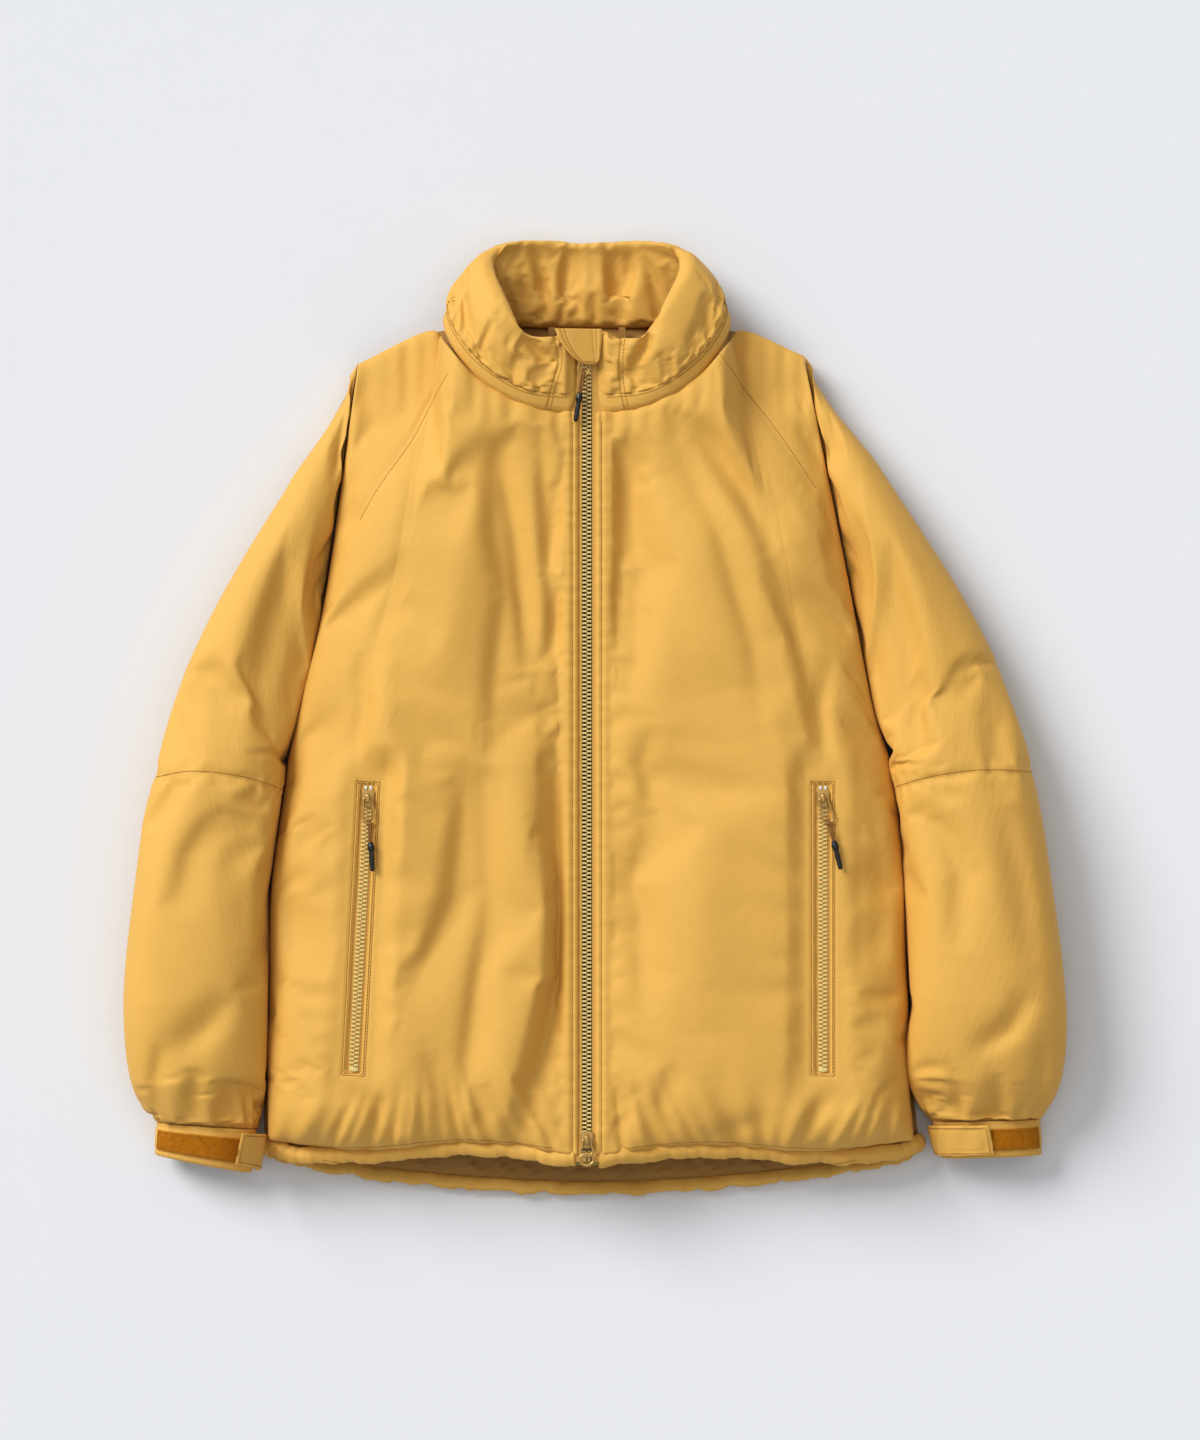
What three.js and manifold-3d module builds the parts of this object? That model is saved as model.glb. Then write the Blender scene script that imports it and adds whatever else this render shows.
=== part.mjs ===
// A padded, zip-front jacket with a stand collar, raglan sleeves and hook-and-loop cuffs, lying on its back.
// Millimetres. +Z is up, off the surface it lies on; +Y runs from the hem to the collar; left and right are the
// wearer's, so the wearer's right sleeve lies at -X. The origin is the middle of the footprint, on the surface.
import * as THREE from "three";
import { mergeVertices } from "three/addons/utils/BufferGeometryUtils.js";
import Module from "manifold-3d";

const wasm = await Module();
wasm.setup();

// ---- Driving dimensions ----
const GAP = 0.3; // between pieces that touch
const SHELL = 1; // outer cloth
const FILL = 14; // wadding between the cloths
const LINING = 1; // inner cloth
const PANEL = SHELL + FILL + LINING + 2 * GAP; // a front or back panel, cloth to cloth
const CHEST_HEIGHT = 70; // top of the fronts beside the zip
const CHEST_PUFF = 8; // how far the fronts crown between the zip and the side
const SEAM_GAP = 0.8; // between the front's and the back's linings at the side seam
const SIDE_DROP = CHEST_HEIGHT + CHEST_PUFF - 2 * PANEL - SEAM_GAP; // how far the fronts come down at the side seam
const ARMHOLE_DROP = 14; // the same at the armhole, where the sleeve is open to the body
const SHOULDER_DROP = 44; // how far the fronts come down along the shoulder

const ZIP_X = -7.5; // centre line of the front zip
const ZIP_TOP = 330;
const ZIP_BOTTOM = -389;
const SHELL_EDGE = 7.5; // half the gap between the two fronts at the zip
const TAPE_WIDTH = 11;
const TAPE = 0.6; // thickness
const CHAIN_SPLIT = 1.2; // between the two rows of teeth, where the slider's post runs
const CHAIN_WIDTH = 3.4; // one row
const CHAIN_HEIGHT = 3;

const SLIDER_LENGTH = 15;
const SLIDER_WIDTH = 10.6;
const SLIDER_PLATE = 1.2;
const BRIDGE_WIDTH = 3;
const BRIDGE_LENGTH = 6;
const BRIDGE_HOLE = 3.8;
const BRIDGE_WALL = 1.1;
const RING_LENGTH = 24;
const RING_WIDTH = 12;
const RING_WIRE = 2;
const RING_THICKNESS = 1.6;
const CORD = 2; // diameter of the pull cord
const CORD_REACH = 15; // from the ring to the cord's moulded end
const CORD_END_LENGTH = 26;
const CORD_END_WIDTH = 6;
const CORD_END_RISE = 1.8; // it lies on the cloth, above the plane of the ring
const TAB_LENGTH = 25;
const TAB_THICKNESS = 2.2;

const POCKET_ZIP_LENGTH = 251;
const POCKET_WINDOW = 14; // width of the slot in the front
const POCKET_BAG = 2.4; // a pocket lying flat and empty
const POCKET_BAG_WIDTH = 130;
const POCKET_FOOT = -310; // the lower end of each pocket zip
const RIGHT_POCKET = { x: -198.5, y: POCKET_FOOT + POCKET_ZIP_LENGTH, tilt: -3 };
const LEFT_POCKET = { x: 199, y: POCKET_FOOT + POCKET_ZIP_LENGTH, tilt: 0 };
const POCKET_HEIGHT = CHEST_HEIGHT + 4.9; // middle of the pocket zip's tape

const HEM_RADIUS = 5.5;
const HEM_BORE = 2.2;
const ELASTIC_RADIUS = 1.4;

const SLEEVE_FILL = 10;
const CUFF_WALL = 3;
const STRIP = 1.5; // hook or loop tape
const CUFF_TAB = 2;
const COLLAR_FILL = 12;
const NECK_BAND_SHARE = 0.2; // of the collar's outer height

// ---- Cloth colours ----
const cloth = (colour, roughness = 0.85) => new THREE.MeshStandardMaterial({ color: colour, roughness });
const outerCloth = cloth(0xdca94c);
const innerCloth = cloth(0x9c7430);
const wadding = cloth(0xe9e4d6, 0.95);
const zipCloth = cloth(0xb98a42);
const toothPlastic = cloth(0xc9ad62, 0.5);
const castMetal = new THREE.MeshStandardMaterial({ color: 0xb08a45, roughness: 0.4, metalness: 0.5 });
const darkPlastic = cloth(0x17181b, 0.45);
const pile = cloth(0xa8700f, 1);
const cordCloth = cloth(0x8a5a1c, 0.8);
const elasticCloth = cloth(0x2b2b2b, 0.8);
const filmPlastic = cloth(0x9a8c10, 0.4);

// ---- Solid helpers ----
const vec = (x, y, z = 0) => new THREE.Vector3(x, y, z);
const range = (n) => [...Array(n).keys()];
const mix = THREE.MathUtils.lerp;
const smooth = THREE.MathUtils.smoothstep;

// A closed geometry from points and triangles, turned so that its faces point out.
function closed(points, triangles) {
  let volume = 0;
  for (const [a, b, c] of triangles) volume += points[a].dot(points[b].clone().cross(points[c]));
  const faces = volume < 0 ? triangles.map(([a, b, c]) => [a, c, b]) : triangles;
  return new THREE.BufferGeometry()
    .setAttribute("position", new THREE.Float32BufferAttribute(points.flatMap((p) => p.toArray()), 3))
    .setIndex(faces.flat());
}

// The solid between two grids of points, grid[row][column].
function slab(top, bottom) {
  const rows = top.length;
  const columns = top[0].length;
  const at = (side, i, j) => side * rows * columns + i * columns + j;
  const triangles = [];
  const quad = (a, b, c, d) => triangles.push([a, b, c], [a, c, d]);
  for (const i of range(rows - 1))
    for (const j of range(columns - 1)) {
      quad(at(0, i, j), at(0, i, j + 1), at(0, i + 1, j + 1), at(0, i + 1, j));
      quad(at(1, i, j), at(1, i + 1, j), at(1, i + 1, j + 1), at(1, i, j + 1));
    }
  for (const i of range(rows - 1)) {
    quad(at(0, i, 0), at(0, i + 1, 0), at(1, i + 1, 0), at(1, i, 0));
    quad(at(0, i + 1, columns - 1), at(0, i, columns - 1), at(1, i, columns - 1), at(1, i + 1, columns - 1));
  }
  for (const j of range(columns - 1)) {
    quad(at(0, 0, j + 1), at(0, 0, j), at(1, 0, j), at(1, 0, j + 1));
    quad(at(0, rows - 1, j), at(0, rows - 1, j + 1), at(1, rows - 1, j + 1), at(1, rows - 1, j));
  }
  return closed([...top.flat(), ...bottom.flat()], triangles);
}

// The wall between two stacks of closed loops, loops[station][corner], open at both ends.
function tube(outer, inner) {
  const stations = outer.length;
  const corners = outer[0].length;
  const at = (side, k, i) => side * stations * corners + k * corners + (i % corners);
  const triangles = [];
  const quad = (a, b, c, d) => triangles.push([a, b, c], [a, c, d]);
  for (const i of range(corners)) {
    for (const k of range(stations - 1)) {
      quad(at(0, k, i), at(0, k, i + 1), at(0, k + 1, i + 1), at(0, k + 1, i));
      quad(at(1, k, i), at(1, k + 1, i), at(1, k + 1, i + 1), at(1, k, i + 1));
    }
    quad(at(0, 0, i + 1), at(0, 0, i), at(1, 0, i), at(1, 0, i + 1));
    quad(at(0, stations - 1, i), at(0, stations - 1, i + 1), at(1, stations - 1, i + 1), at(1, stations - 1, i));
  }
  return closed([...outer.flat(), ...inner.flat()], triangles);
}

function solidOf(geometry) {
  const bare = (geometry.index ? geometry.toNonIndexed() : geometry.clone());
  for (const name of Object.keys(bare.attributes)) if (name !== "position") bare.deleteAttribute(name);
  const merged = mergeVertices(bare, 1e-3);
  return new wasm.Manifold(
    new wasm.Mesh({
      numProp: 3,
      vertProperties: new Float32Array(merged.attributes.position.array),
      triVerts: new Uint32Array(merged.index.array),
    }),
  );
}

function geometryOf(solid) {
  const { vertProperties, triVerts } = solid.getMesh();
  return new THREE.BufferGeometry()
    .setAttribute("position", new THREE.BufferAttribute(vertProperties, 3))
    .setIndex(new THREE.BufferAttribute(triVerts, 1));
}

const join = (...geometries) => geometryOf(geometries.map(solidOf).reduce((a, b) => a.add(b)));
const cut = (geometry, ...tools) => geometryOf(tools.map(solidOf).reduce((a, b) => a.subtract(b), solidOf(geometry)));

// A box from its lowest to its highest corner.
function block([x0, y0, z0], [x1, y1, z1]) {
  return new THREE.BoxGeometry(x1 - x0, y1 - y0, z1 - z0).translate((x0 + x1) / 2, (y0 + y1) / 2, (z0 + z1) / 2);
}

function extrude(shape, depth, curveSegments = 6) {
  return new THREE.ExtrudeGeometry(shape, { depth, bevelEnabled: false, curveSegments });
}

// A round cord along a curve, with a bore down the middle if one is given.
function cordAlong(curve, radius, steps, bore = 0) {
  const section = new THREE.Shape().absarc(0, 0, radius, 0, 2 * Math.PI);
  if (bore) section.holes.push(new THREE.Path().absarc(0, 0, bore, 0, 2 * Math.PI, true));
  return new THREE.ExtrudeGeometry(section, { extrudePath: curve, steps, curveSegments: 3, bevelEnabled: false });
}

const jacket = new THREE.Group();

function add(name, geometry, material, parent = jacket) {
  const mesh = new THREE.Mesh(geometry, material);
  mesh.name = name;
  parent.add(mesh);
  return mesh;
}

// ---- Outlines of the body, in plan ----
// The armhole runs from the shoulder point to the armpit; the side seam from there to the hem.
const SIDE_EDGE = {
  right: [vec(-289, -362), vec(-289, -310), vec(-286, -239), vec(-283, -143), vec(-273, -68), vec(-259, 16), vec(-240, 95)],
  left: [vec(281, -362), vec(276, -314), vec(273, -239), vec(269.5, -143), vec(262.5, -63), vec(243, 16), vec(228, 93)],
};
const SHOULDER = { right: vec(-209, 312), left: vec(183.5, 319) };
const NECK = { right: vec(-141, 341), left: vec(126, 341) }; // where the collar meets the shoulder
const FRONT_NECK = [vec(SHELL_EDGE, 263), vec(50, 269), vec(94, 292), vec(124, 324)]; // from the zip outwards

// The outlines' heights are drawn for a chest this high; a higher or lower one takes their upper parts with it.
const DRAWN_CHEST = 70;
const raised = (z) => z + (CHEST_HEIGHT - DRAWN_CHEST) * smooth(z, 6, 54);

// The hem is one round channel: along the right front, back across and along the left front.
const HEM_POINTS = [
  vec(ZIP_X - 10, -386, 58), vec(-110, -377, 50), vec(-200, -384, 42), vec(-262, -384, 34), vec(-286, -378, 25),
  vec(-294, -377, 16), vec(-286, -382, 8), vec(-262, -390, 6), vec(-160, -406, 6), vec(0, -415, 6),
  vec(150, -406, 6), vec(254, -390, 6), vec(278, -382, 8), vec(286, -377, 16), vec(278, -378, 25),
  vec(252, -384, 34), vec(190, -385, 42), vec(100, -379, 50), vec(ZIP_X + 10, -386, 58),
];
for (const p of HEM_POINTS) p.z = raised(p.z);
const hemCurve = new THREE.CatmullRomCurve3(HEM_POINTS);
const PANEL_TO_HEM = HEM_RADIUS + 5 * GAP;
const CORNER_TO_HEM = 12; // at the side seams, where the channel climbs from the back to the front

const curveOf = (points) => new THREE.CatmullRomCurve3(points);

// The patch that fills four edge curves, where u runs across and v up.
function patch(bottom, top, start, end) {
  const corner = (curve, t) => curve.getPoint(t);
  return (u, v) => {
    const across = bottom.getPoint(u).lerp(top.getPoint(u), v);
    const along = start.getPoint(v).lerp(end.getPoint(v), u);
    const low = corner(bottom, 0).lerp(corner(bottom, 1), u);
    const high = corner(top, 0).lerp(corner(top, 1), u);
    return across.add(along).sub(low.lerp(high, v));
  };
}

const flat = (points) => points.map((p) => vec(p.x, p.y));

function frontPatch(side) {
  const sign = side === "right" ? -1 : 1;
  const zipX = ZIP_X + sign * SHELL_EDGE;
  const edge = [...SIDE_EDGE[side], SHOULDER[side]];
  const hem = flat(side === "right" ? HEM_POINTS.slice(0, 4) : HEM_POINTS.slice(15).reverse());
  const bottom = [vec(zipX, hem[0].y), hem[1], hem[2], vec(edge[0].x, hem[3].y)];
  for (const p of bottom) p.y += PANEL_TO_HEM;
  bottom[3].y += CORNER_TO_HEM - PANEL_TO_HEM;
  edge[0] = bottom[3].clone();
  const neck = FRONT_NECK.map((p) => vec(ZIP_X + sign * p.x, p.y));
  const top = [...neck, NECK[side], SHOULDER[side]];
  const start = [bottom[0], vec(zipX, 0), top[0]];
  return patch(curveOf(bottom), curveOf(top), curveOf(start), curveOf(edge));
}

// How high the top of a front stands, from the zip (u = 0) to the side (u = 1) and from the hem (v = 0) up.
// It is never so low that its lining would reach into the back.
function frontHeight(u, v) {
  const side = mix(SIDE_DROP, ARMHOLE_DROP, smooth(v, 0.6, 0.75));
  const hem = mix(18, 30, u) * (1 - smooth(v, 0, 0.09)) * smooth(u, 0.02, 0.2) * (1 - u ** 10);
  const shoulder = SHOULDER_DROP * smooth(v, 0.85, 1) * smooth(u, 0.5, 0.72) * (1 - u ** 10 * 0.32);
  const height = CHEST_HEIGHT + CHEST_PUFF * smooth(u, 0, 0.25) - side * u ** 22 - hem - shoulder;
  return Math.max(height, 2 * PANEL + GAP);
}

const FRONT_COLUMNS = [0, 0.05, 0.13, 0.27, 0.45, 0.64, 0.8, 0.9, 0.96, 1];
const FRONT_ROWS = 11;

// One cloth or wadding layer of a front, from depth below its top surface down to depth + thickness.
function frontLayer(side, depth, thickness, columns = FRONT_COLUMNS) {
  const plan = frontPatch(side);
  const grid = (drop) =>
    range(FRONT_ROWS + 1).map((j) => {
      const v = j / FRONT_ROWS;
      return columns.map((u) => plan(u, v).setZ(frontHeight(u, v) - drop));
    });
  return slab(grid(depth), grid(depth + thickness));
}

// ---- The back, flat on the surface ----
function backLayer(bottomZ, thickness) {
  const hem = HEM_POINTS.slice(7, 12).map((p) => p.clone());
  for (const p of hem) p.y += PANEL_TO_HEM;
  const cornerY = -379 + CORNER_TO_HEM;
  const bottom = flat([vec(SIDE_EDGE.right[0].x, cornerY), ...hem, vec(SIDE_EDGE.left[0].x, cornerY)]);
  const right = [bottom[0], ...SIDE_EDGE.right.slice(1), SHOULDER.right];
  const left = [bottom.at(-1), ...SIDE_EDGE.left.slice(1), SHOULDER.left];
  const top = [SHOULDER.right, NECK.right, vec(-60, 347), vec(ZIP_X, 347), vec(45, 347), NECK.left, SHOULDER.left];
  const plan = patch(curveOf(bottom), curveOf(top), curveOf(right), curveOf(left));
  const grid = (z) => range(8).map((j) => range(11).map((i) => plan(i / 10, j / 7).setZ(z)));
  return slab(grid(bottomZ + thickness), grid(bottomZ));
}

add("back_shell", backLayer(0, SHELL), outerCloth);
add("back_fill", backLayer(SHELL + GAP, FILL), wadding);
add("back_lining", backLayer(SHELL + FILL + 2 * GAP, LINING), innerCloth);

// ---- The fronts, each with a slot for its pocket zip ----
const POCKET = { right: RIGHT_POCKET, left: LEFT_POCKET };
const BAG_TOP = -(CHAIN_HEIGHT / 2 + 2 * GAP + SLIDER_PLATE + GAP); // below the middle of the zip's tape

// Sets a geometry made in a pocket zip's own frame, its top end at the origin and +Y along it, into place.
function atPocket(geometry, side) {
  const { x, y, tilt } = POCKET[side];
  return geometry.rotateZ(THREE.MathUtils.degToRad(tilt)).translate(x, y, POCKET_HEIGHT);
}

// A box around the pocket zip, half wide, running wall past each of its ends.
const zipBox = (half, wall, low, high) =>
  block([-half, -POCKET_ZIP_LENGTH - wall, low], [half, wall, high]);

function bagBox(side, clearance) {
  const [near, far] = [-16, POCKET_BAG_WIDTH - 16];
  const [x0, x1] = side === "right" ? [near, far] : [-far, -near];
  return block(
    [x0 - clearance, -POCKET_ZIP_LENGTH - 3 - clearance, BAG_TOP - POCKET_BAG - clearance],
    [x1 + clearance, 12 + clearance, BAG_TOP + clearance],
  );
}

for (const side of ["right", "left"]) {
  const window = atPocket(zipBox(POCKET_WINDOW / 2, 0, -20, 20), side);
  const zipRecess = atPocket(zipBox(TAPE_WIDTH + 2, 4, BAG_TOP, 20), side);
  const fill = frontLayer(side, SHELL + GAP, FILL, FRONT_COLUMNS.slice(1));
  add(`${side}_front_shell`, cut(frontLayer(side, 0, SHELL), window), outerCloth);
  add(`${side}_front_fill`, cut(fill, atPocket(bagBox(side, GAP), side), zipRecess), wadding);
  add(`${side}_front_lining`, frontLayer(side, PANEL - LINING, LINING), innerCloth);
  add(`${side}_pocket_bag`, atPocket(bagBox(side, 0), side), innerCloth);
}

// ---- Sleeves: stations from the armhole to the wrist, each an outer and an inner point and a thickness ----
const SLEEVE = {
  right: [
    [vec(-210, 313), vec(-241, 95), 48], [vec(-260, 227), vec(-255, 47), 62], [vec(-313, 135), vec(-265, 7), 74],
    [vec(-353, 47), vec(-272, -29), 82], [vec(-385, -52), vec(-277, -68), 88], [vec(-400, -143), vec(-286, -143), 90],
    [vec(-410.5, -248), vec(-289, -239), 88], [vec(-404, -319), vec(-292, -310), 70], [vec(-386, -357), vec(-299, -363), 44],
  ],
  left: [
    [vec(184.5, 320), vec(229, 93), 48], [vec(242, 236), vec(243, 47), 62], [vec(304, 135), vec(250, 7), 74],
    [vec(347, 47), vec(259, -29), 82], [vec(382, -50), vec(265, -65), 88], [vec(398, -143), vec(272, -143), 90],
    [vec(410.5, -257), vec(276, -239), 88], [vec(406, -314), vec(279, -312), 70], [vec(391, -354), vec(297, -356), 44],
  ],
};
const CUFF_END = {
  right: [vec(-388, -386), vec(-304, -402), 38],
  left: [vec(393, -386), vec(306, -389), 38],
};
const ELBOW = 4; // the station of the seam between upper sleeve and forearm
const CORNERS = 12; // around a sleeve

// A point on a sleeve station's oval, depth inside its surface, at an angle from its inner edge.
function ovalPoint([outer, inner, thickness], angle, depth) {
  const middle = outer.clone().add(inner).multiplyScalar(0.5);
  const across = inner.clone().sub(outer);
  const halfWidth = across.length() / 2 - depth;
  const point = middle.add(across.normalize().multiplyScalar(halfWidth * Math.cos(angle)));
  return point.setZ(thickness / 2 + (thickness / 2 - depth) * Math.sin(angle));
}

const loop = (station, depth) => range(CORNERS).map((i) => ovalPoint(station, (2 * Math.PI * i) / CORNERS, depth));

const sleeveTube = (stations, depth, wall) =>
  tube(stations.map((s) => loop(s, depth)), stations.map((s) => loop(s, depth + wall)));

// Slides a station's two points on, so that the next tube starts a gap further down the arm.
function past([outer, inner, thickness], [nextOuter, nextInner]) {
  const step = (from, to) => from.clone().add(to.clone().sub(from).normalize().multiplyScalar(GAP));
  return [step(outer, nextOuter), step(inner, nextInner), thickness];
}

for (const side of ["right", "left"]) {
  const stations = SLEEVE[side];
  const armhole = past(stations[0], stations[1]);
  const upper = [armhole, ...stations.slice(1, ELBOW + 1)];
  const forearm = [past(stations[ELBOW], stations[ELBOW + 1]), ...stations.slice(ELBOW + 1)];
  const whole = [armhole, ...stations.slice(1)];
  add(`${side}_upper_sleeve`, sleeveTube(upper, 0, SHELL), outerCloth);
  add(`${side}_forearm`, sleeveTube(forearm, 0, SHELL), outerCloth);
  add(`${side}_sleeve_fill`, sleeveTube(whole, SHELL + GAP, SLEEVE_FILL), wadding);
  add(`${side}_sleeve_lining`, sleeveTube(whole, SHELL + SLEEVE_FILL + 2 * GAP, LINING), innerCloth);
}

// ---- Cuffs: a band, a strip of loop tape on it, and a tab with a patch of hook tape ----
const between = ([a, b, c], [d, e, f], t) => [a.clone().lerp(d, t), b.clone().lerp(e, t), mix(c, f, t)];

// A patch of an oval cuff, standing off it by lift, between two angles and two shares of its length.
function cuffPatch(ends, [from, to], [start, end], lift, thickness, columns = 8) {
  const grid = (depth) =>
    range(4).map((k) =>
      range(columns + 1).map((i) =>
        ovalPoint(between(...ends, mix(start, end, k / 3)), mix(from, to, i / columns), depth),
      ),
    );
  return slab(grid(-lift - thickness), grid(-lift));
}

const TAB_HINGE = {}; // the line that each tab is sewn along
const TAB_REST = { right: 48, left: 0 }; // degrees open
for (const side of ["right", "left"]) {
  const wrist = past(SLEEVE[side].at(-1), CUFF_END[side]);
  const ends = [wrist, CUFF_END[side]];
  const at = (degrees) => THREE.MathUtils.degToRad(degrees);
  add(`${side}_cuff`, sleeveTube([wrist, between(...ends, 0.5), CUFF_END[side]], 0, CUFF_WALL), outerCloth);
  add(`${side}_loop_strip`, cuffPatch(ends, [at(34), at(160)], [0.22, 0.8], 0.4, STRIP), pile);
  const lift = 0.4 + STRIP + GAP;
  const hook = cuffPatch(ends, [at(50), at(86)], [0.24, 0.8], lift, STRIP, 4);
  const tab = cuffPatch(ends, [at(4), at(92)], [0.1, 0.92], lift + STRIP + GAP, CUFF_TAB, 6);
  const root = ovalPoint(between(...ends, 0.5), at(4), -lift - STRIP - GAP);
  TAB_HINGE[side] = root;
  const swing = new THREE.Group();
  swing.position.copy(root);
  swing.rotation.y = at(side === "right" ? TAB_REST.right : -TAB_REST.left);
  jacket.add(swing);
  add(`${side}_tab_hook`, hook.translate(-root.x, -root.y, -root.z), pile, swing);
  add(`${side}_cuff_tab`, tab.translate(-root.x, -root.y, -root.z), outerCloth, swing);
}

// ---- Hem channel and the elastic in it ----
add("hem_channel", cordAlong(hemCurve, HEM_RADIUS, 44, HEM_BORE), outerCloth);
add("hem_elastic", cordAlong(hemCurve, ELASTIC_RADIUS, 44), elasticCloth);

// ---- Collar: three loops from the zip's right edge round the back, the left half mirrored about the zip ----
const COLLAR_EDGE = 9; // from the zip's centre to the collar's front edge
const wholeLoop = (points) => {
  const right = points.map(([x, y, z]) => vec(ZIP_X - x, y, raised(z)));
  const left = right.slice(0, -1).reverse().map((p) => vec(2 * ZIP_X - p.x, p.y, p.z));
  return curveOf([...right, ...left]);
};
const COLLAR = {
  base: wholeLoop([
    [COLLAR_EDGE, 267, 70], [55, 275, 75], [98, 299, 70], [126, 331, 54],
    [133, 351, 32], [104, 354, 12], [45, 352, 3], [0, 352, 1],
  ]),
  bulge: wholeLoop([
    [COLLAR_EDGE, 304, 72], [58, 310, 88], [100, 338, 86], [124, 370, 64],
    [122, 388, 38], [92, 392, 15], [40, 392, 5], [0, 392, 3],
  ]),
  rim: wholeLoop([
    [COLLAR_EDGE, 339, 75], [48, 335, 88], [78, 366, 85], [97, 398, 68],
    [94, 414, 46], [66, 418, 30], [26, 419, 21], [0, 419, 20],
  ]),
};

function collarSurface(u, v) {
  const [base, bulge, rim] = [COLLAR.base, COLLAR.bulge, COLLAR.rim].map((c) => c.getPoint(u));
  return base.lerp(bulge, v).lerp(bulge.clone().lerp(rim, v), v);
}

// A point of the collar, depth in from its outer face along that face's own normal.
function collarPoint(u, v, depth) {
  const step = 0.004;
  const [u0, u1] = [Math.max(u - step, 0), Math.min(u + step, 1)];
  const [v0, v1] = [Math.max(v - 0.05, 0), Math.min(v + 0.05, 1)];
  const along = collarSurface(u1, v).sub(collarSurface(u0, v));
  const up = collarSurface(u, v1).sub(collarSurface(u, v0));
  const inward = along.cross(up).normalize();
  inward.x *= smooth(Math.min(u, 1 - u), 0, 0.1); // the front edges stay square to the zip
  inward.y = Math.max(inward.y, -0.15);
  return collarSurface(u, v).add(inward.normalize().multiplyScalar(depth));
}

const COLLAR_COLUMNS = [0, 0.02, ...range(21).map((i) => mix(0.06, 0.94, i / 20)), 0.98, 1];

function collarLayer(depth, thickness, rows, columns = COLLAR_COLUMNS) {
  const grid = (d) => rows.map((v) => columns.map((u) => collarPoint(u, v, d)));
  return slab(grid(depth), grid(depth + thickness));
}

const COLLAR_ROWS = [0, NECK_BAND_SHARE, 0.4, 0.6, 0.8, 1];
const bandSeam = NECK_BAND_SHARE + 0.004;
const innerDepth = SHELL + COLLAR_FILL + 4 * GAP;
add("neck_band", collarLayer(0, SHELL, COLLAR_ROWS.slice(0, 2)), outerCloth);
add("collar_shell", collarLayer(0, SHELL, [bandSeam, ...COLLAR_ROWS.slice(2)]), outerCloth);
add("collar_fill", collarLayer(SHELL + GAP, COLLAR_FILL, COLLAR_ROWS, COLLAR_COLUMNS.slice(1, -1)), wadding);
add("collar_lining", collarLayer(innerDepth, LINING, COLLAR_ROWS), outerCloth);

// ---- The flap over the top of the zip, the loop at the nape and the flap behind the zip ----
const garagePoint = (dx, y) => {
  // from over one collar edge, across the slider, to the other
  const z = CHEST_HEIGHT + mix(15.2, 6.9, smooth(dx, -36, 14));
  return vec(ZIP_X + dx, y, z + 0.02 * (y - 310));
};
const garageRows = [[309, -8, 9], [313, -16, 11], [320, -22, 12], [330, -26, 13], [339, -28, 13]];
const garageGrid = (lift) =>
  garageRows.map(([y, left, right]) => range(9).map((i) => garagePoint(mix(left, right, i / 8), y).add(vec(0, 0, lift))));
add("zip_garage", slab(garageGrid(1.2), garageGrid(0)), outerCloth);

const BACK_TOP = PANEL + GAP; // of the back's lining, with a gap
const nape = [[-34, 16], [-34, 0], [34, 0], [34, 16], [28, 16], [28, 6], [-28, 6], [-28, 16]].map(([x, y]) => vec(x, y));
add("hanger_loop", extrude(new THREE.Shape(nape), 1.5).translate(ZIP_X, 329, BACK_TOP), innerCloth);

const LINING_UNDER = CHEST_HEIGHT - PANEL - 1.5 * GAP;
add(
  "storm_flap",
  block([ZIP_X - 20, -372, LINING_UNDER - 1.8], [ZIP_X + 16, 258, LINING_UNDER]),
  outerCloth,
);

// ---- Zip parts, made about the middle of the tape with +Y up the zip ----
const CHAIN_IN = CHAIN_SPLIT / 2;
const CHAIN_OUT = CHAIN_IN + CHAIN_WIDTH;
const PLATE_LOW = CHAIN_HEIGHT / 2 + GAP;
const PLATE_TOP = PLATE_LOW + SLIDER_PLATE;
const HOLE_LOW = PLATE_TOP + GAP;
const PULL_HEIGHT = HOLE_LOW + BRIDGE_HOLE / 2; // the line that a pull swings about

function sliderBody() {
  const halfLength = SLIDER_LENGTH / 2;
  const halfWidth = SLIDER_WIDTH / 2;
  const flange = CHAIN_OUT + GAP;
  const parts = [block([-CHAIN_IN + GAP, -4, -PLATE_LOW - 0.1], [CHAIN_IN - GAP, 4, PLATE_LOW + 0.1])];
  for (const face of [-1, 1]) {
    const z = [face * PLATE_LOW, face * PLATE_TOP].sort((a, b) => a - b);
    parts.push(block([-halfWidth, -halfLength, z[0]], [halfWidth, halfLength, z[1]]));
    const f = [face * 2 * GAP, face * (PLATE_LOW + 0.1)].sort((a, b) => a - b);
    for (const x of [-halfWidth, flange])
      parts.push(block([x, -halfLength, f[0]], [x + halfWidth - flange, halfLength, f[1]]));
  }
  const reach = BRIDGE_LENGTH / 2 + BRIDGE_WALL;
  const top = HOLE_LOW + BRIDGE_HOLE + BRIDGE_WALL;
  parts.push(block([-BRIDGE_WIDTH / 2, -reach, PLATE_TOP - 0.1], [BRIDGE_WIDTH / 2, reach, top]));
  const hole = block([-3, -BRIDGE_LENGTH / 2, HOLE_LOW], [3, BRIDGE_LENGTH / 2, HOLE_LOW + BRIDGE_HOLE]);
  return cut(join(...parts), hole);
}

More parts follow.
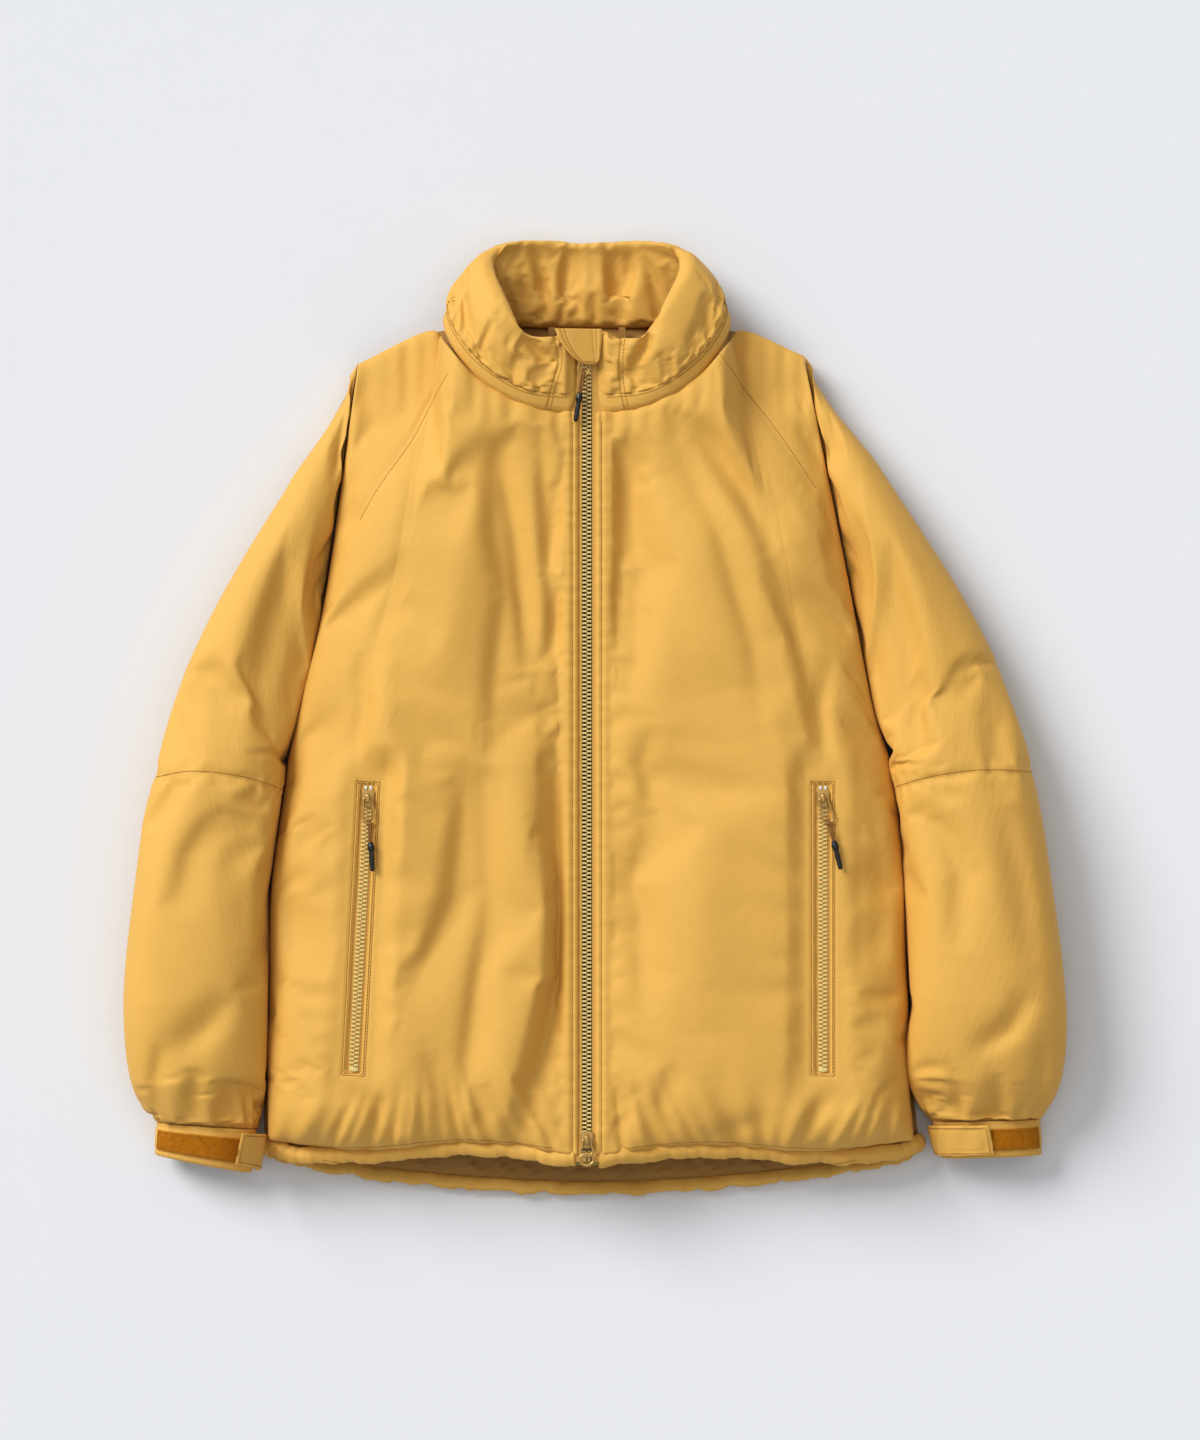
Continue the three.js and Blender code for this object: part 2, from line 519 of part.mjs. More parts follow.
// A pull's outline: a bar through the bridge at the top, widening to a round end.
function pullOutline(barWidth, endWidth, length, inset = 0) {
  const half = barWidth / 2 - inset;
  const radius = endWidth / 2 - inset;
  const centre = -(length - endWidth / 2 - RING_WIRE / 2);
  const outline = new THREE.Shape();
  outline.moveTo(-half, RING_WIRE / 2 - inset);
  outline.lineTo(-half, -4);
  outline.lineTo(-radius, centre);
  outline.absarc(0, centre, radius, Math.PI, 2 * Math.PI);
  outline.lineTo(half, -4);
  outline.lineTo(half, RING_WIRE / 2 - inset);
  return outline;
}

const PULL_BAR = 9.4;

function pullRing() {
  const outline = pullOutline(PULL_BAR, RING_WIDTH, RING_LENGTH);
  outline.holes.push(new THREE.Path(pullOutline(PULL_BAR, RING_WIDTH, RING_LENGTH, RING_WIRE).getPoints(6)));
  return extrude(outline, RING_THICKNESS).translate(0, 0, -RING_THICKNESS / 2);
}

function pullTab() {
  const width = RING_WIDTH + 1.5;
  const outline = pullOutline(PULL_BAR, width, TAB_LENGTH);
  const slot = new THREE.Path([vec(-2.7, -1), vec(2.7, -1), vec(2.7, -7.5), vec(-2.7, -7.5)]);
  const hole = new THREE.Path().absellipse(0, -(TAB_LENGTH - width / 2 - 1), 4.6, 3.4, 0, 2 * Math.PI);
  outline.holes.push(slot, hole);
  return extrude(outline, TAB_THICKNESS).translate(0, 0, -TAB_THICKNESS / 2);
}

// The cord loops round the bottom of the ring, and both its ends run into the moulded end.
const RING_BOTTOM = -(RING_LENGTH - RING_WIRE / 2);
const CORD_CLEAR = RING_THICKNESS / 2 + GAP + CORD / 2;
const CORD_STOP = RING_BOTTOM - CORD_REACH;

function pullCord() {
  const inRing = RING_BOTTOM + RING_WIRE + 4 * GAP + CORD / 2;
  const points = [
    vec(0, CORD_STOP + GAP, CORD_END_RISE + 1.2), vec(0, RING_BOTTOM - 4, CORD_CLEAR + 0.5), vec(0, RING_BOTTOM + 1, CORD_CLEAR + 0.1),
    vec(0, inRing, 0), vec(0, RING_BOTTOM + 1, -CORD_CLEAR - 0.1), vec(0, RING_BOTTOM - 4, -CORD_CLEAR + 1.9),
    vec(0, CORD_STOP + GAP, CORD_END_RISE - 1.2),
  ];
  return cordAlong(curveOf(points), CORD / 2, 14);
}

function cordEnd() {
  const half = CORD_END_WIDTH / 2;
  const profile = [[0, 0], [half * 0.85, 0], [half, 3], [half * 1.1, 8], [half * 0.8, 13], [half * 0.66, CORD_END_LENGTH], [0, CORD_END_LENGTH]];
  return new THREE.LatheGeometry(profile.reverse().map(([r, y]) => new THREE.Vector2(r, -y)), 10).translate(0, CORD_STOP, CORD_END_RISE);
}

// A pull hanging from the slider at centre, leaning from the zip's own line by lean degrees.
function addPull(names, pieces, centre, tilt, lean) {
  const pull = new THREE.Group();
  pull.position.copy(centre).add(vec(0, 0, PULL_HEIGHT));
  pull.rotation.z = THREE.MathUtils.degToRad(tilt + lean);
  jacket.add(pull);
  names.forEach((name, i) => add(name, pieces[i][0], pieces[i][1], pull));
}

// ---- The front zip ----
const ZIP_CENTRE = vec(ZIP_X, 0, CHEST_HEIGHT - SHELL - GAP - TAPE / 2);
const BOX_LENGTH = 10;
for (const [side, sign] of [["right", -1], ["left", 1]]) {
  const span = (a, b) => [sign * a, sign * b].sort((p, q) => p - q);
  const [t0, t1] = span(CHAIN_OUT + GAP, CHAIN_OUT + GAP + TAPE_WIDTH);
  const [c0, c1] = span(CHAIN_IN, CHAIN_OUT);
  const place = (geometry) => geometry.translate(...ZIP_CENTRE.toArray());
  add(`${side}_zip_tape`, place(block([t0, ZIP_BOTTOM, -TAPE / 2], [t1, ZIP_TOP, TAPE / 2])), zipCloth);
  const chain = block([c0, ZIP_BOTTOM + BOX_LENGTH + GAP, -CHAIN_HEIGHT / 2], [c1, ZIP_TOP, CHAIN_HEIGHT / 2]);
  add(`${side}_zip_teeth`, place(chain), toothPlastic);
  const [e0, e1] = span(CHAIN_IN, side === "right" ? CHAIN_OUT : CHAIN_OUT - 1);
  const end = block([e0, ZIP_BOTTOM, -CHAIN_HEIGHT / 2], [e1, ZIP_BOTTOM + BOX_LENGTH, CHAIN_HEIGHT / 2]);
  add(side === "right" ? "retainer_box" : "insertion_pin", place(end), castMetal);
}
const filmTop = ZIP_CENTRE.z - PLATE_TOP - GAP;
add("zip_end_film", block([ZIP_X - 9, -392, filmTop - 0.8], [ZIP_X + 9, -366, filmTop]), filmPlastic);

const TOP_SLIDER = ZIP_CENTRE.clone().setY(ZIP_TOP - SLIDER_LENGTH / 2 - 0.5);
const BOTTOM_SLIDER = ZIP_CENTRE.clone().setY(ZIP_BOTTOM + BOX_LENGTH + 2 + SLIDER_LENGTH / 2);
add("top_slider", sliderBody().translate(...TOP_SLIDER.toArray()), castMetal);
add("bottom_slider", sliderBody().translate(...BOTTOM_SLIDER.toArray()), castMetal);
const corded = () => [[pullRing(), castMetal], [pullCord(), cordCloth], [cordEnd(), darkPlastic]];
addPull(["top_pull_ring", "top_pull_cord", "top_cord_end"], corded(), TOP_SLIDER, 0, -9);
addPull(["bottom_pull_tab"], [[pullTab(), castMetal]], BOTTOM_SLIDER, 0, 0);

// ---- The pocket zips: both tapes and rows in one, joined at the ends ----
const POCKET_LEAN = { right: 7, left: 14 };
for (const side of ["right", "left"]) {
  const pieces = [];
  for (const sign of [-1, 1]) {
    const [c0, c1] = [sign * CHAIN_IN, sign * CHAIN_OUT].sort((a, b) => a - b);
    const [t0, t1] = [sign * (CHAIN_OUT - 0.2), sign * TAPE_WIDTH].sort((a, b) => a - b);
    pieces.push(block([c0, -POCKET_ZIP_LENGTH, -CHAIN_HEIGHT / 2], [c1, 0, CHAIN_HEIGHT / 2]));
    pieces.push(block([t0, -POCKET_ZIP_LENGTH - 2, -TAPE / 2], [t1, 2, TAPE / 2]));
  }
  for (const y of [-POCKET_ZIP_LENGTH, -3])
    pieces.push(block([-CHAIN_OUT + 0.2, y, -CHAIN_HEIGHT / 2], [CHAIN_OUT - 0.2, y + 3, CHAIN_HEIGHT / 2]));
  add(`${side}_pocket_zip`, atPocket(join(...pieces), side), zipCloth);
  const drop = 3 + 1 + SLIDER_LENGTH / 2; // past the top stop
  add(`${side}_pocket_slider`, atPocket(sliderBody().translate(0, -drop, 0), side), castMetal);
  const { x, y, tilt } = POCKET[side];
  const turn = THREE.MathUtils.degToRad(tilt);
  const centre = vec(x + drop * Math.sin(turn), y - drop * Math.cos(turn), POCKET_HEIGHT);
  const names = ["ring", "cord", "cord_end"].map((piece) => `${side}_pocket_pull_${piece}`);
  addPull(names, corded(), centre, tilt, POCKET_LEAN[side]);
}

export default jacket;
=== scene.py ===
# %% [markdown]
# A padded jacket lies on its back on a pale surface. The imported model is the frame: it says where every
# piece sits and what moves. Each soft piece could be left as its plain solid with a cloth finish, but that
# looks false from the side. So each is built again here as real folded cloth in the same place, and small
# hard pieces are made with the detail that the plain solids leave out.

# %% Load the frame
import math

import bmesh
import bpy
import numpy as np
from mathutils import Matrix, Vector
from mathutils.bvhtree import BVHTree


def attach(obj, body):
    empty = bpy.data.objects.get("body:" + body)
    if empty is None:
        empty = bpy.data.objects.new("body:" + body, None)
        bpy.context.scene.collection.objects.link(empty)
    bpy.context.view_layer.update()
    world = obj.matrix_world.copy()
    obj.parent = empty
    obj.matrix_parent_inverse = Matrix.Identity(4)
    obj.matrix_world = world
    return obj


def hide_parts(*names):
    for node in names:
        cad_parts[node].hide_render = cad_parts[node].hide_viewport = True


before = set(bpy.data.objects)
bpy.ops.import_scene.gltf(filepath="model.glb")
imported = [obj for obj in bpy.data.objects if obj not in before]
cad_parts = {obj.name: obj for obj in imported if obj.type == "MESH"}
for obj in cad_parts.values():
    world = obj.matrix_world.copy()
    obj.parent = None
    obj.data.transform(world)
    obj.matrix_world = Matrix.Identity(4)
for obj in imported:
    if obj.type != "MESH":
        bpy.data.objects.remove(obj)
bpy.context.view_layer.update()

MM = 0.001
SIDES = {"right": -1, "left": 1}  # the wearer's, so the right sleeve lies at -X
scene = bpy.context.scene

# %% [markdown]
# The camera looks straight down from far away with a long lens, so the jacket keeps its true proportions. A
# wide lens close up would show more of the sides and bend the outline. A soft light far off to the upper
# left shapes the folds, a softer one above opens them, and an even pale surround fills their shadows. Lamps
# close by would leave the surface brighter on one side.

# %% Camera and light
CAMERA_HEIGHT = 6.0
VIEW_WIDTH = 1.056  # metres across the frame at the jacket
VIEW_CENTRE = (0.004, -0.002)
JACKET_MIDDLE = 0.04
SENSOR = 36
SURROUND = (0.96, 0.98, 1, 1)
SURROUND_STRENGTH = 0.37

camera_data = bpy.data.cameras.new("camera")
camera_data.sensor_fit = "HORIZONTAL"
camera_data.sensor_width = SENSOR
camera_data.lens = SENSOR * (CAMERA_HEIGHT - JACKET_MIDDLE) / VIEW_WIDTH
camera_data.clip_end = 50
camera = bpy.data.objects.new("camera", camera_data)
camera.location = (*VIEW_CENTRE, CAMERA_HEIGHT)
scene.collection.objects.link(camera)
scene.camera = camera
scene.view_settings.view_transform = "Standard"
scene.view_settings.look = "Medium High Contrast"


def add_soft_light(name, place, spread, strength):
    """A far light shining from a place to the middle of the jacket, soft over a spread in degrees."""
    data = bpy.data.lights.new(name, "SUN")
    data.angle = math.radians(spread)
    data.energy = strength
    lamp = bpy.data.objects.new(name, data)
    lamp.location = place
    lamp.rotation_euler = Vector(place).to_track_quat("Z", "Y").to_euler()
    scene.collection.objects.link(lamp)


add_soft_light("key_light", (-2.3, 2.0, 2.0), spread=30, strength=2.45)
add_soft_light("top_light", (0.3, 0.2, 3.2), spread=70, strength=0.5)
world = bpy.data.worlds.new("surround")
scene.world = world
world.use_nodes = True
background = world.node_tree.nodes["Background"]
background.inputs["Color"].default_value = SURROUND
background.inputs["Strength"].default_value = SURROUND_STRENGTH
print("camera lens", round(camera_data.lens), "mm")

# %% [markdown]
# Shader sums read better as sums. This class wraps a socket, so 0.6 + noise * 0.3 adds the Math nodes, and
# one method makes every other kind of node: its settings first, then the values or links of its sockets.
# The other way, naming each node and link by hand, takes five lines for each sum.

# %% A material and its wires
class Wire:
    """A socket of a material that can be used in sums."""

    def __init__(self, finish, socket):
        self.finish = finish
        self.socket = socket

    def math(self, operation, first, second):
        return self.finish.node("ShaderNodeMath", {"operation": operation}, {0: first, 1: second})

    def __add__(self, other):
        return self.math("ADD", self, other)

    def __radd__(self, other):
        return self.math("ADD", other, self)

    def __mul__(self, other):
        return self.math("MULTIPLY", self, other)

    def __rmul__(self, other):
        return self.math("MULTIPLY", other, self)

    def sine(self):
        return self.math("SINE", self, 0)


class Finish:
    """A material whose one shader is Principled."""

    def __init__(self, name):
        self.material = bpy.data.materials.new(name)
        self.material.use_nodes = True
        self.tree = self.material.node_tree
        self.shader = self.tree.nodes["Principled BSDF"]

    def node(self, kind, settings, inputs, output=0):
        """Adds a node: its settings, then a value or a wire for each of its sockets."""
        made = self.tree.nodes.new(kind)
        for key, value in settings.items():
            if key == "stops":
                for stop, (place, colour) in zip(made.color_ramp.elements, value):
                    stop.position = place
                    stop.color = colour
            else:
                setattr(made, key, value)
        for key, value in inputs.items():
            self.put(made.inputs[key], value)
        return Wire(self, made.outputs[output])

    def put(self, socket, value):
        """Links a wire to a socket, or sets the socket to a value."""
        if isinstance(value, Wire):
            self.tree.links.new(value.socket, socket)
        else:
            socket.default_value = value

    def set(self, **values):
        """Sets the shader's sockets, named with _ for each space."""
        for key, value in values.items():
            self.put(self.shader.inputs[key.replace("_", " ").title().replace("Ior", "IOR")], value)

    def noise(self, place, scale, detail=2, roughness=0.5):
        """Smooth noise, whose scale counts its lumps in a metre."""
        inputs = {"Vector": place, "Scale": scale, "Detail": detail, "Roughness": roughness}
        return self.node("ShaderNodeTexNoise", {}, inputs)

    def between(self, share, low, high):
        """A colour that goes from low to high with a share."""
        inputs = {0: share, 6: (*low, 1), 7: (*high, 1)}
        return self.node("ShaderNodeMix", {"data_type": "RGBA", "clamp_factor": True}, inputs, 2)

    def bump(self, height, distance, strength, normal=None):
        """A bumped normal, on top of another one where it is given."""
        inputs = {"Height": height, "Distance": distance, "Strength": strength}
        if normal:
            inputs["Normal"] = normal
        return self.node("ShaderNodeBump", {}, inputs)


def shaded(colour, share):
    """A colour made lighter or darker by a share."""
    return tuple(min(channel * share, 1) for channel in colour)


# %% [markdown]
# The outer cloth is a dense matt plain weave with a faint sheen. Its threads are far too fine to build, so
# the weave is a bump made of two crossed sine waves on the cloth's own UV map, laid out in metres, which
# keeps the threads the same size on every panel. Slow noise varies the dye a little, and a middle scale of
# noise gives the small creases that any washed cloth has.

# %% Woven cloth
CLOTH = (0.68, 0.39, 0.083)
LINING = (0.36, 0.19, 0.045)
THREAD = 0.0007  # metres from one thread to the next but one


def woven(name, colour, on_uv=True, thread=THREAD, weave=0.25, crease=0.5, sheen=0.05):
    """A plain-woven cloth on the piece's UV map, or on object coordinates where it has none."""
    finish = Finish(name)
    if on_uv:
        place = finish.node("ShaderNodeUVMap", {"uv_map": "cloth"}, {})
    else:
        place = finish.node("ShaderNodeTexCoord", {}, {}, "Object")
    warp = finish.node("ShaderNodeSeparateXYZ", {}, {"Vector": place}, "X")
    weft = Wire(finish, warp.socket.node.outputs["Y"])
    turns = 2 * math.pi / thread
    threads = (warp * turns).sine() * (weft * turns).sine() * 0.5 + 0.5
    dye = finish.noise(place, 9, 3)
    creases = finish.noise(place, 70, 4, 0.55)
    slub = finish.noise(place, 900, 2)
    tone = dye * 0.55 + threads * 0.15 + slub * 0.3
    finish.set(
        base_color=finish.between(tone, shaded(colour, 0.86), shaded(colour, 1.12)),
        roughness=0.62 + slub * 0.2,
        sheen_weight=sheen,
        sheen_roughness=0.45,
        specular_ior_level=0.5,
    )
    coarse = finish.bump(creases, 0.0012, crease)
    finish.set(normal=finish.bump(threads + slub * 0.6, 0.00012, weave, coarse))
    return finish.material


outer_cloth = woven("outer_cloth", CLOTH)
outer_cloth_flat = woven("outer_cloth_flat", CLOTH, on_uv=False)
lining_cloth = woven("lining_cloth", LINING, crease=0.8, sheen=0.2)
lining_cloth_flat = woven("lining_cloth_flat", LINING, on_uv=False)
tape_cloth = woven("tape_cloth", (0.62, 0.35, 0.08), on_uv=False, thread=0.0012, weave=0.7, crease=0.1)
# The sewing thread is darker than its own colour, which is close to the cloth's. The extra darkness is
# painted shade of the needle holes, so each seam reads as a dark line.
thread_and_painted_shade = woven("thread_and_painted_shade", (0.36, 0.17, 0.022), on_uv=False, thread=0.0005, weave=0.6, crease=0)
print("cloths and thread made, with a weave of", THREAD / MM, "mm")

# %% [markdown]
# Every soft piece here is a grid of points: across the cloth and along it. A smooth curve through a few
# chosen points gives each edge, and a patch fills the space between four edges. The same outlines made the
# plain solids, so the looks sit where the solids are. Lengths in these cells are in millimetres.

# %% Curves and patches
def smooth(x, low, high):
    """0 below low, 1 above high, and an even S between them."""
    share = np.clip((np.asarray(x, float) - low) / (high - low), 0, 1)
    return share * share * (3 - 2 * share)


def mix(a, b, share):
    """The value a share of the way from a to b."""
    return a + (b - a) * share


def curve(points):
    """A function of 0 to 1 that runs smoothly through the points, with no loop at an uneven one."""
    known = np.array(points, float)
    padded = np.vstack([2 * known[0] - known[1], known, 2 * known[-1] - known[-2]])

    def at(share):
        place = np.clip(np.asarray(share, float), 0, 1) * (len(known) - 1)
        k = np.clip(place.astype(int), 0, len(known) - 2)
        part = (place - k)[..., None]
        a, b, c, d = (padded[k + i] for i in range(4))
        steps = [np.linalg.norm(q - p, axis=-1, keepdims=True) ** 0.5 for p, q in ((a, b), (b, c), (c, d))]
        before, here, after = (np.maximum(step, 1e-3) for step in steps)
        start = ((b - a) / before - (c - a) / (before + here) + (c - b) / here) * here
        end = ((c - b) / here - (d - b) / (here + after) + (d - c) / after) * here
        second = 3 * (c - b) - 2 * start - end
        third = 2 * (b - c) + start + end
        return b + start * part + second * part**2 + third * part**3

    return at


def patch(bottom, top, start, end):
    """The patch between four edge curves, where u runs across and v up."""

    def at(u, v):
        u, v = np.broadcast_arrays(np.asarray(u, float), np.asarray(v, float))
        across, along = u[..., None], v[..., None]
        low = mix(bottom(0.0), bottom(1.0), across)
        high = mix(top(0.0), top(1.0), across)
        return mix(bottom(u), top(u), along) + mix(start(v), end(v), across) - mix(low, high, along)

    return at


def ripple(place, lengths, seed):
    """An uneven wave between -1 and 1, from a few wavelengths."""
    rng = np.random.default_rng(seed)
    total = 0
    for length in lengths:
        wander = 0.9 * np.sin(place / length * 1.7 + rng.uniform(0, 6.28))
        total = total + np.sin(2 * np.pi * place / length + wander + rng.uniform(0, 6.28))
    return total / len(lengths)


def from_line(line, x, y):
    """The distance of points from a polyline, which side they are on, and how far along it they lie."""
    line = np.array(line, float)
    lengths = np.linalg.norm(np.diff(line, axis=0), axis=1)
    run = np.concatenate([[0], np.cumsum(lengths)])
    best = np.full(np.shape(x), 1e9)
    side = np.zeros(np.shape(x))
    share = np.zeros(np.shape(x))
    for k, (p, q) in enumerate(zip(line[:-1], line[1:])):
        step = (q - p) / lengths[k]
        reach = np.clip((x - p[0]) * step[0] + (y - p[1]) * step[1], 0, lengths[k])
        dx = x - p[0] - reach * step[0]
        dy = y - p[1] - reach * step[1]
        near = np.hypot(dx, dy)
        closer = near < best
        best = np.where(closer, near, best)
        side = np.where(closer, np.sign(step[0] * dy - step[1] * dx), side)
        share = np.where(closer, (run[k] + reach) / run[-1], share)
    return best, side, share


print("halfway along a bent curve:", curve([(0, 0), (10, 10), (20, 0)])(0.5))

# %% [markdown]
# Cloth over wadding folds in long soft valleys where it was pulled or lifted. Each fold here is a line on
# the plan with a depth and a width to each side of it, because a real fold is steep on one side and slow on
# the other. A fold could be sculpted by hand, but a line can be moved and tuned, and it costs one row in a
# list.

# %% Folds
def fold_height(folds, x, y):
    """The height that the folds add at plan points. Each is depth, left width, right width and its line."""
    height = np.zeros(np.shape(x))
    for depth, left, right, line in folds:
        distance, side, share = from_line(line, x, y)
        width = np.where(side > 0, left, right)
        ends = np.sin(np.pi * np.clip(share, 0.02, 0.98)) ** 0.6
        height += depth * np.exp(-((distance / width) ** 2)) * ends
    return height


FRONT_FOLDS = [
    (-9, 24, 11, [(-75, 288), (-85, 230), (-87, 163), (-78, 118), (-87, 28), (-87, -48)]),
    (6, 22, 18, [(-95, 223), (-127, 73), (-143, 19)]),
    (-10, 26, 12, [(-108, -34), (-123, -157), (-142, -204), (-167, -256)]),
    (-6, 9, 6, [(-48, 262), (-42, 150), (-34, 60), (-30, 5)]),
    (-6, 12, 8, [(-88, 256), (-69, 160), (-58, 36)]),
    (-6, 16, 10, [(-96, -39), (-92, -163), (-106, -258), (-121, -378)]),
    (-7, 16, 10, [(22, 250), (41, 132), (32, 7)]),
    (-6, 14, 10, [(70, 245), (108, 160), (137, 65), (147, -11)]),
    (-5, 12, 9, [(147, 140), (184, 37), (194, -39)]),
    (-4, 8, 6, [(-22, 223), (-33, 200), (-42, 127)]),
    (-4, 7, 6, [(-29, 118), (-44, 41)]),
    (-14, 13, 7, [(-33, -20), (-32, -93), (-28, -167), (-32, -226), (-46, -295), (-67, -375)]),
    (10, 9, 28, [(-54, 10), (-52, -93), (-47, -167), (-51, -226), (-66, -291), (-87, -370)]),
    (-9, 18, 8, [(25, 258), (25, 151), (19, 51)]),
    (-5, 10, 10, [(48, -5), (44, -40), (50, -80)]),
    (-7, 18, 12, [(50, -59), (37, -143), (45, -266)]),
    (-8, 17, 11, [(73, 285), (117, 208), (162, 144)]),
    (-7, 13, 10, [(92, 266), (122, 212), (148, 153), (166, 104), (184, 49)]),
    (5, 24, 22, [(60, 215), (92, 120), (118, 20)]),
    (6, 30, 26, [(95, -60), (92, -170), (98, -280)]),
    (-6, 14, 10, [(149, -350), (125, -362), (95, -372)]),
    (-6, 20, 12, [(-150, 215), (-168, 120), (-205, 20)]),
    (5, 20, 22, [(-190, 60), (-175, -60), (-178, -200)]),
    (-5, 14, 10, [(-148, -290), (-132, -330), (-128, -378)]),
    (-5, 12, 9, [(-100, -318), (-98, -345), (-112, -380)]),
    (-5, 13, 10, [(70, -300), (58, -340), (60, -380)]),
    (-4, 11, 9, [(20, -320), (26, -350), (22, -380)]),
    (-4.5, 9, 8, [(-212, -50), (-200, 10), (-205, 60)]),
    (-4.5, 9, 8, [(205, -50), (196, 8), (206, 55)]),
    (-6, 12, 10, [(-215, -318), (-190, -340), (-172, -372)]),
    (-6, 12, 10, [(208, -318), (196, -340), (186, -368)]),
    (-5, 10, 8, [(-245, -80), (-262, -150), (-262, -230)]),
    (-5, 10, 8, [(236, -60), (250, -150), (246, -240)]),
]
print(len(FRONT_FOLDS), "folds in the fronts")

# %% [markdown]
# The padded look comes from simulated cloth. A coarse copy of each panel is held at its seams, grows by one
# to nine hundredths as wadding makes a panel do, and is blown up a little from within, so it buckles into
# puckers at its seams by itself. Moving points by hand never gives such puckers. The movement is capped, so
# a panel stays in its own space, and it is carried to the fine panel by smooth interpolation.

# %% From a coarse grid to a fine one
def resample(values, place):
    """Smooth values between the rows of a grid, at places counted in rows."""
    last = len(values) - 1
    k = np.clip(place.astype(int), 0, last - 1)
    part = (place - k).reshape(-1, *[1] * (values.ndim - 1))
    a, b, c, d = (values[np.clip(k + i, 0, last)] for i in (-1, 0, 1, 2))
    second = 2 * a - 5 * b + 4 * c - d
    third = 3 * b - a - 3 * c + d
    return 0.5 * (2 * b + (c - a) * part + second * part**2 + third * part**3)


def refine(grid, rows, columns):
    """A grid's values at finer shares of its rows and columns."""
    by_row = resample(grid, np.asarray(rows, float) * (len(grid) - 1))
    turned = by_row.swapaxes(0, 1)
    return resample(turned, np.asarray(columns, float) * (len(turned) - 1)).swapaxes(0, 1)


def grid_faces(rows, columns, around=False, flip=False):
    """The quads of a grid of points, whose last column joins the first if it runs around."""
    wide = columns if around else columns - 1
    i, j = np.meshgrid(np.arange(rows - 1), np.arange(wide), indexing="ij")
    after = (j + 1) % columns
    low, high = i * columns, (i + 1) * columns
    quads = np.stack([low + j, low + after, high + after, high + j], -1).reshape(-1, 4)
    return quads[:, ::-1] if flip else quads


def faces_inward(grid, around):
    """Whether a grid's faces look down, or into its own tube."""
    after = np.roll(grid, -1, axis=1)
    normal = np.cross(after[:-1] - grid[:-1], grid[1:] - grid[:-1])
    out = grid[:-1] - grid[:-1].mean(axis=1, keepdims=True) if around else np.array((0.0, 0.0, 1.0))
    return float((normal * out)[:, :-1].sum()) < 0


# %% Simulated padding
CLOTH_STEPS = 16


def puff(name, grid, pinned, grow, pressure, cap, around=False, stiffness=6.0):
    """The movement of a grid of cloth that is held where pinned is 1 and swells elsewhere."""
    rows, columns = grid.shape[:2]
    mesh = bpy.data.meshes.new(name)
    points = grid.reshape(-1, 3) * MM
    flip = faces_inward(grid, around)
    mesh.from_pydata(points.tolist(), [], grid_faces(rows, columns, around, flip).tolist())
    cloth = bpy.data.objects.new(name, mesh)
    scene.collection.objects.link(cloth)
    held = cloth.vertex_groups.new(name="held")
    for index, weight in enumerate(np.clip(pinned, 0, 1).ravel()):
        if weight > 0.01:
            held.add([index], float(weight), "REPLACE")
    modifier = cloth.modifiers.new("cloth", "CLOTH")
    settings = modifier.settings
    settings.quality = 4
    settings.mass = 0.25
    settings.tension_stiffness = 20
    settings.compression_stiffness = 20
    settings.shear_stiffness = 8
    settings.bending_stiffness = stiffness
    settings.air_damping = 4
    settings.vertex_group_mass = "held"
    settings.pin_stiffness = 20
    settings.shrink_min = -grow
    settings.use_pressure = True
    settings.uniform_pressure_force = pressure
    settings.effector_weights.gravity = 0
    modifier.collision_settings.use_collision = False
    modifier.point_cache.frame_start = 1
    modifier.point_cache.frame_end = CLOTH_STEPS
    for step in range(1, CLOTH_STEPS + 1):
        scene.frame_set(step)
    result = cloth.evaluated_get(bpy.context.evaluated_depsgraph_get())
    moved = np.empty(len(points) * 3)
    result.data.vertices.foreach_get("co", moved)
    bpy.data.objects.remove(cloth)
    scene.frame_set(1)
    move = (moved.reshape(-1, 3) - points) / MM
    length = np.linalg.norm(move, axis=1, keepdims=True)
    print(name, "moved up to", round(float(length.max()), 1), "mm, capped at", cap)
    return (move / np.maximum(length, 1e-9) * cap * np.tanh(length / cap)).reshape(grid.shape)


# %% [markdown]
# A finished panel is one closed body: its top grid, an underside and the strips that join their edges.
# Adding a Solidify modifier would do for an even wall, but here the underside must stay at its own height
# above the back panel, so it is made from its own points.

# %% Closed bodies
def piece_from(name, points, faces, uv, materials, kinds=None):
    """A smooth mesh piece from millimetre points, with a UV map in metres for its weave."""
    mesh = bpy.data.meshes.new(name)
    mesh.from_pydata((np.asarray(points) * MM).tolist(), [], [list(map(int, face)) for face in faces])
    for material in materials:
        mesh.materials.append(material)
    if kinds is not None:
        mesh.polygons.foreach_set("material_index", np.asarray(kinds, np.int32))
    mesh.polygons.foreach_set("use_smooth", np.ones(len(mesh.polygons), bool))
    if uv is not None:
        layer = mesh.uv_layers.new(name="cloth")
        corners = np.empty(len(mesh.loops), np.int32)
        mesh.loops.foreach_get("vertex_index", corners)
        layer.data.foreach_set("uv", (np.asarray(uv) * MM)[corners].astype(np.float32).ravel())
    mesh.update()
    made = bpy.data.objects.new(name, mesh)
    scene.collection.objects.link(made)
    return made


def face_out(made):
    """Turns a closed body's faces outwards."""
    work = bmesh.new()
    work.from_mesh(made.data)
    if work.calc_volume(signed=True) < 0:
        bmesh.ops.reverse_faces(work, faces=work.faces)
        work.to_mesh(made.data)
    work.free()
    return made


def arc_lengths(grid):
    """Each point's distance across and along its grid, for an unstretched weave."""
    across = np.linalg.norm(np.diff(grid, axis=1), axis=2)
    along = np.linalg.norm(np.diff(grid, axis=0), axis=2)
    u = np.concatenate([np.zeros((len(grid), 1)), np.cumsum(across, axis=1)], axis=1)
    v = np.concatenate([np.zeros((1, grid.shape[1])), np.cumsum(along, axis=0)], axis=0)
    return np.stack([u, v], -1)


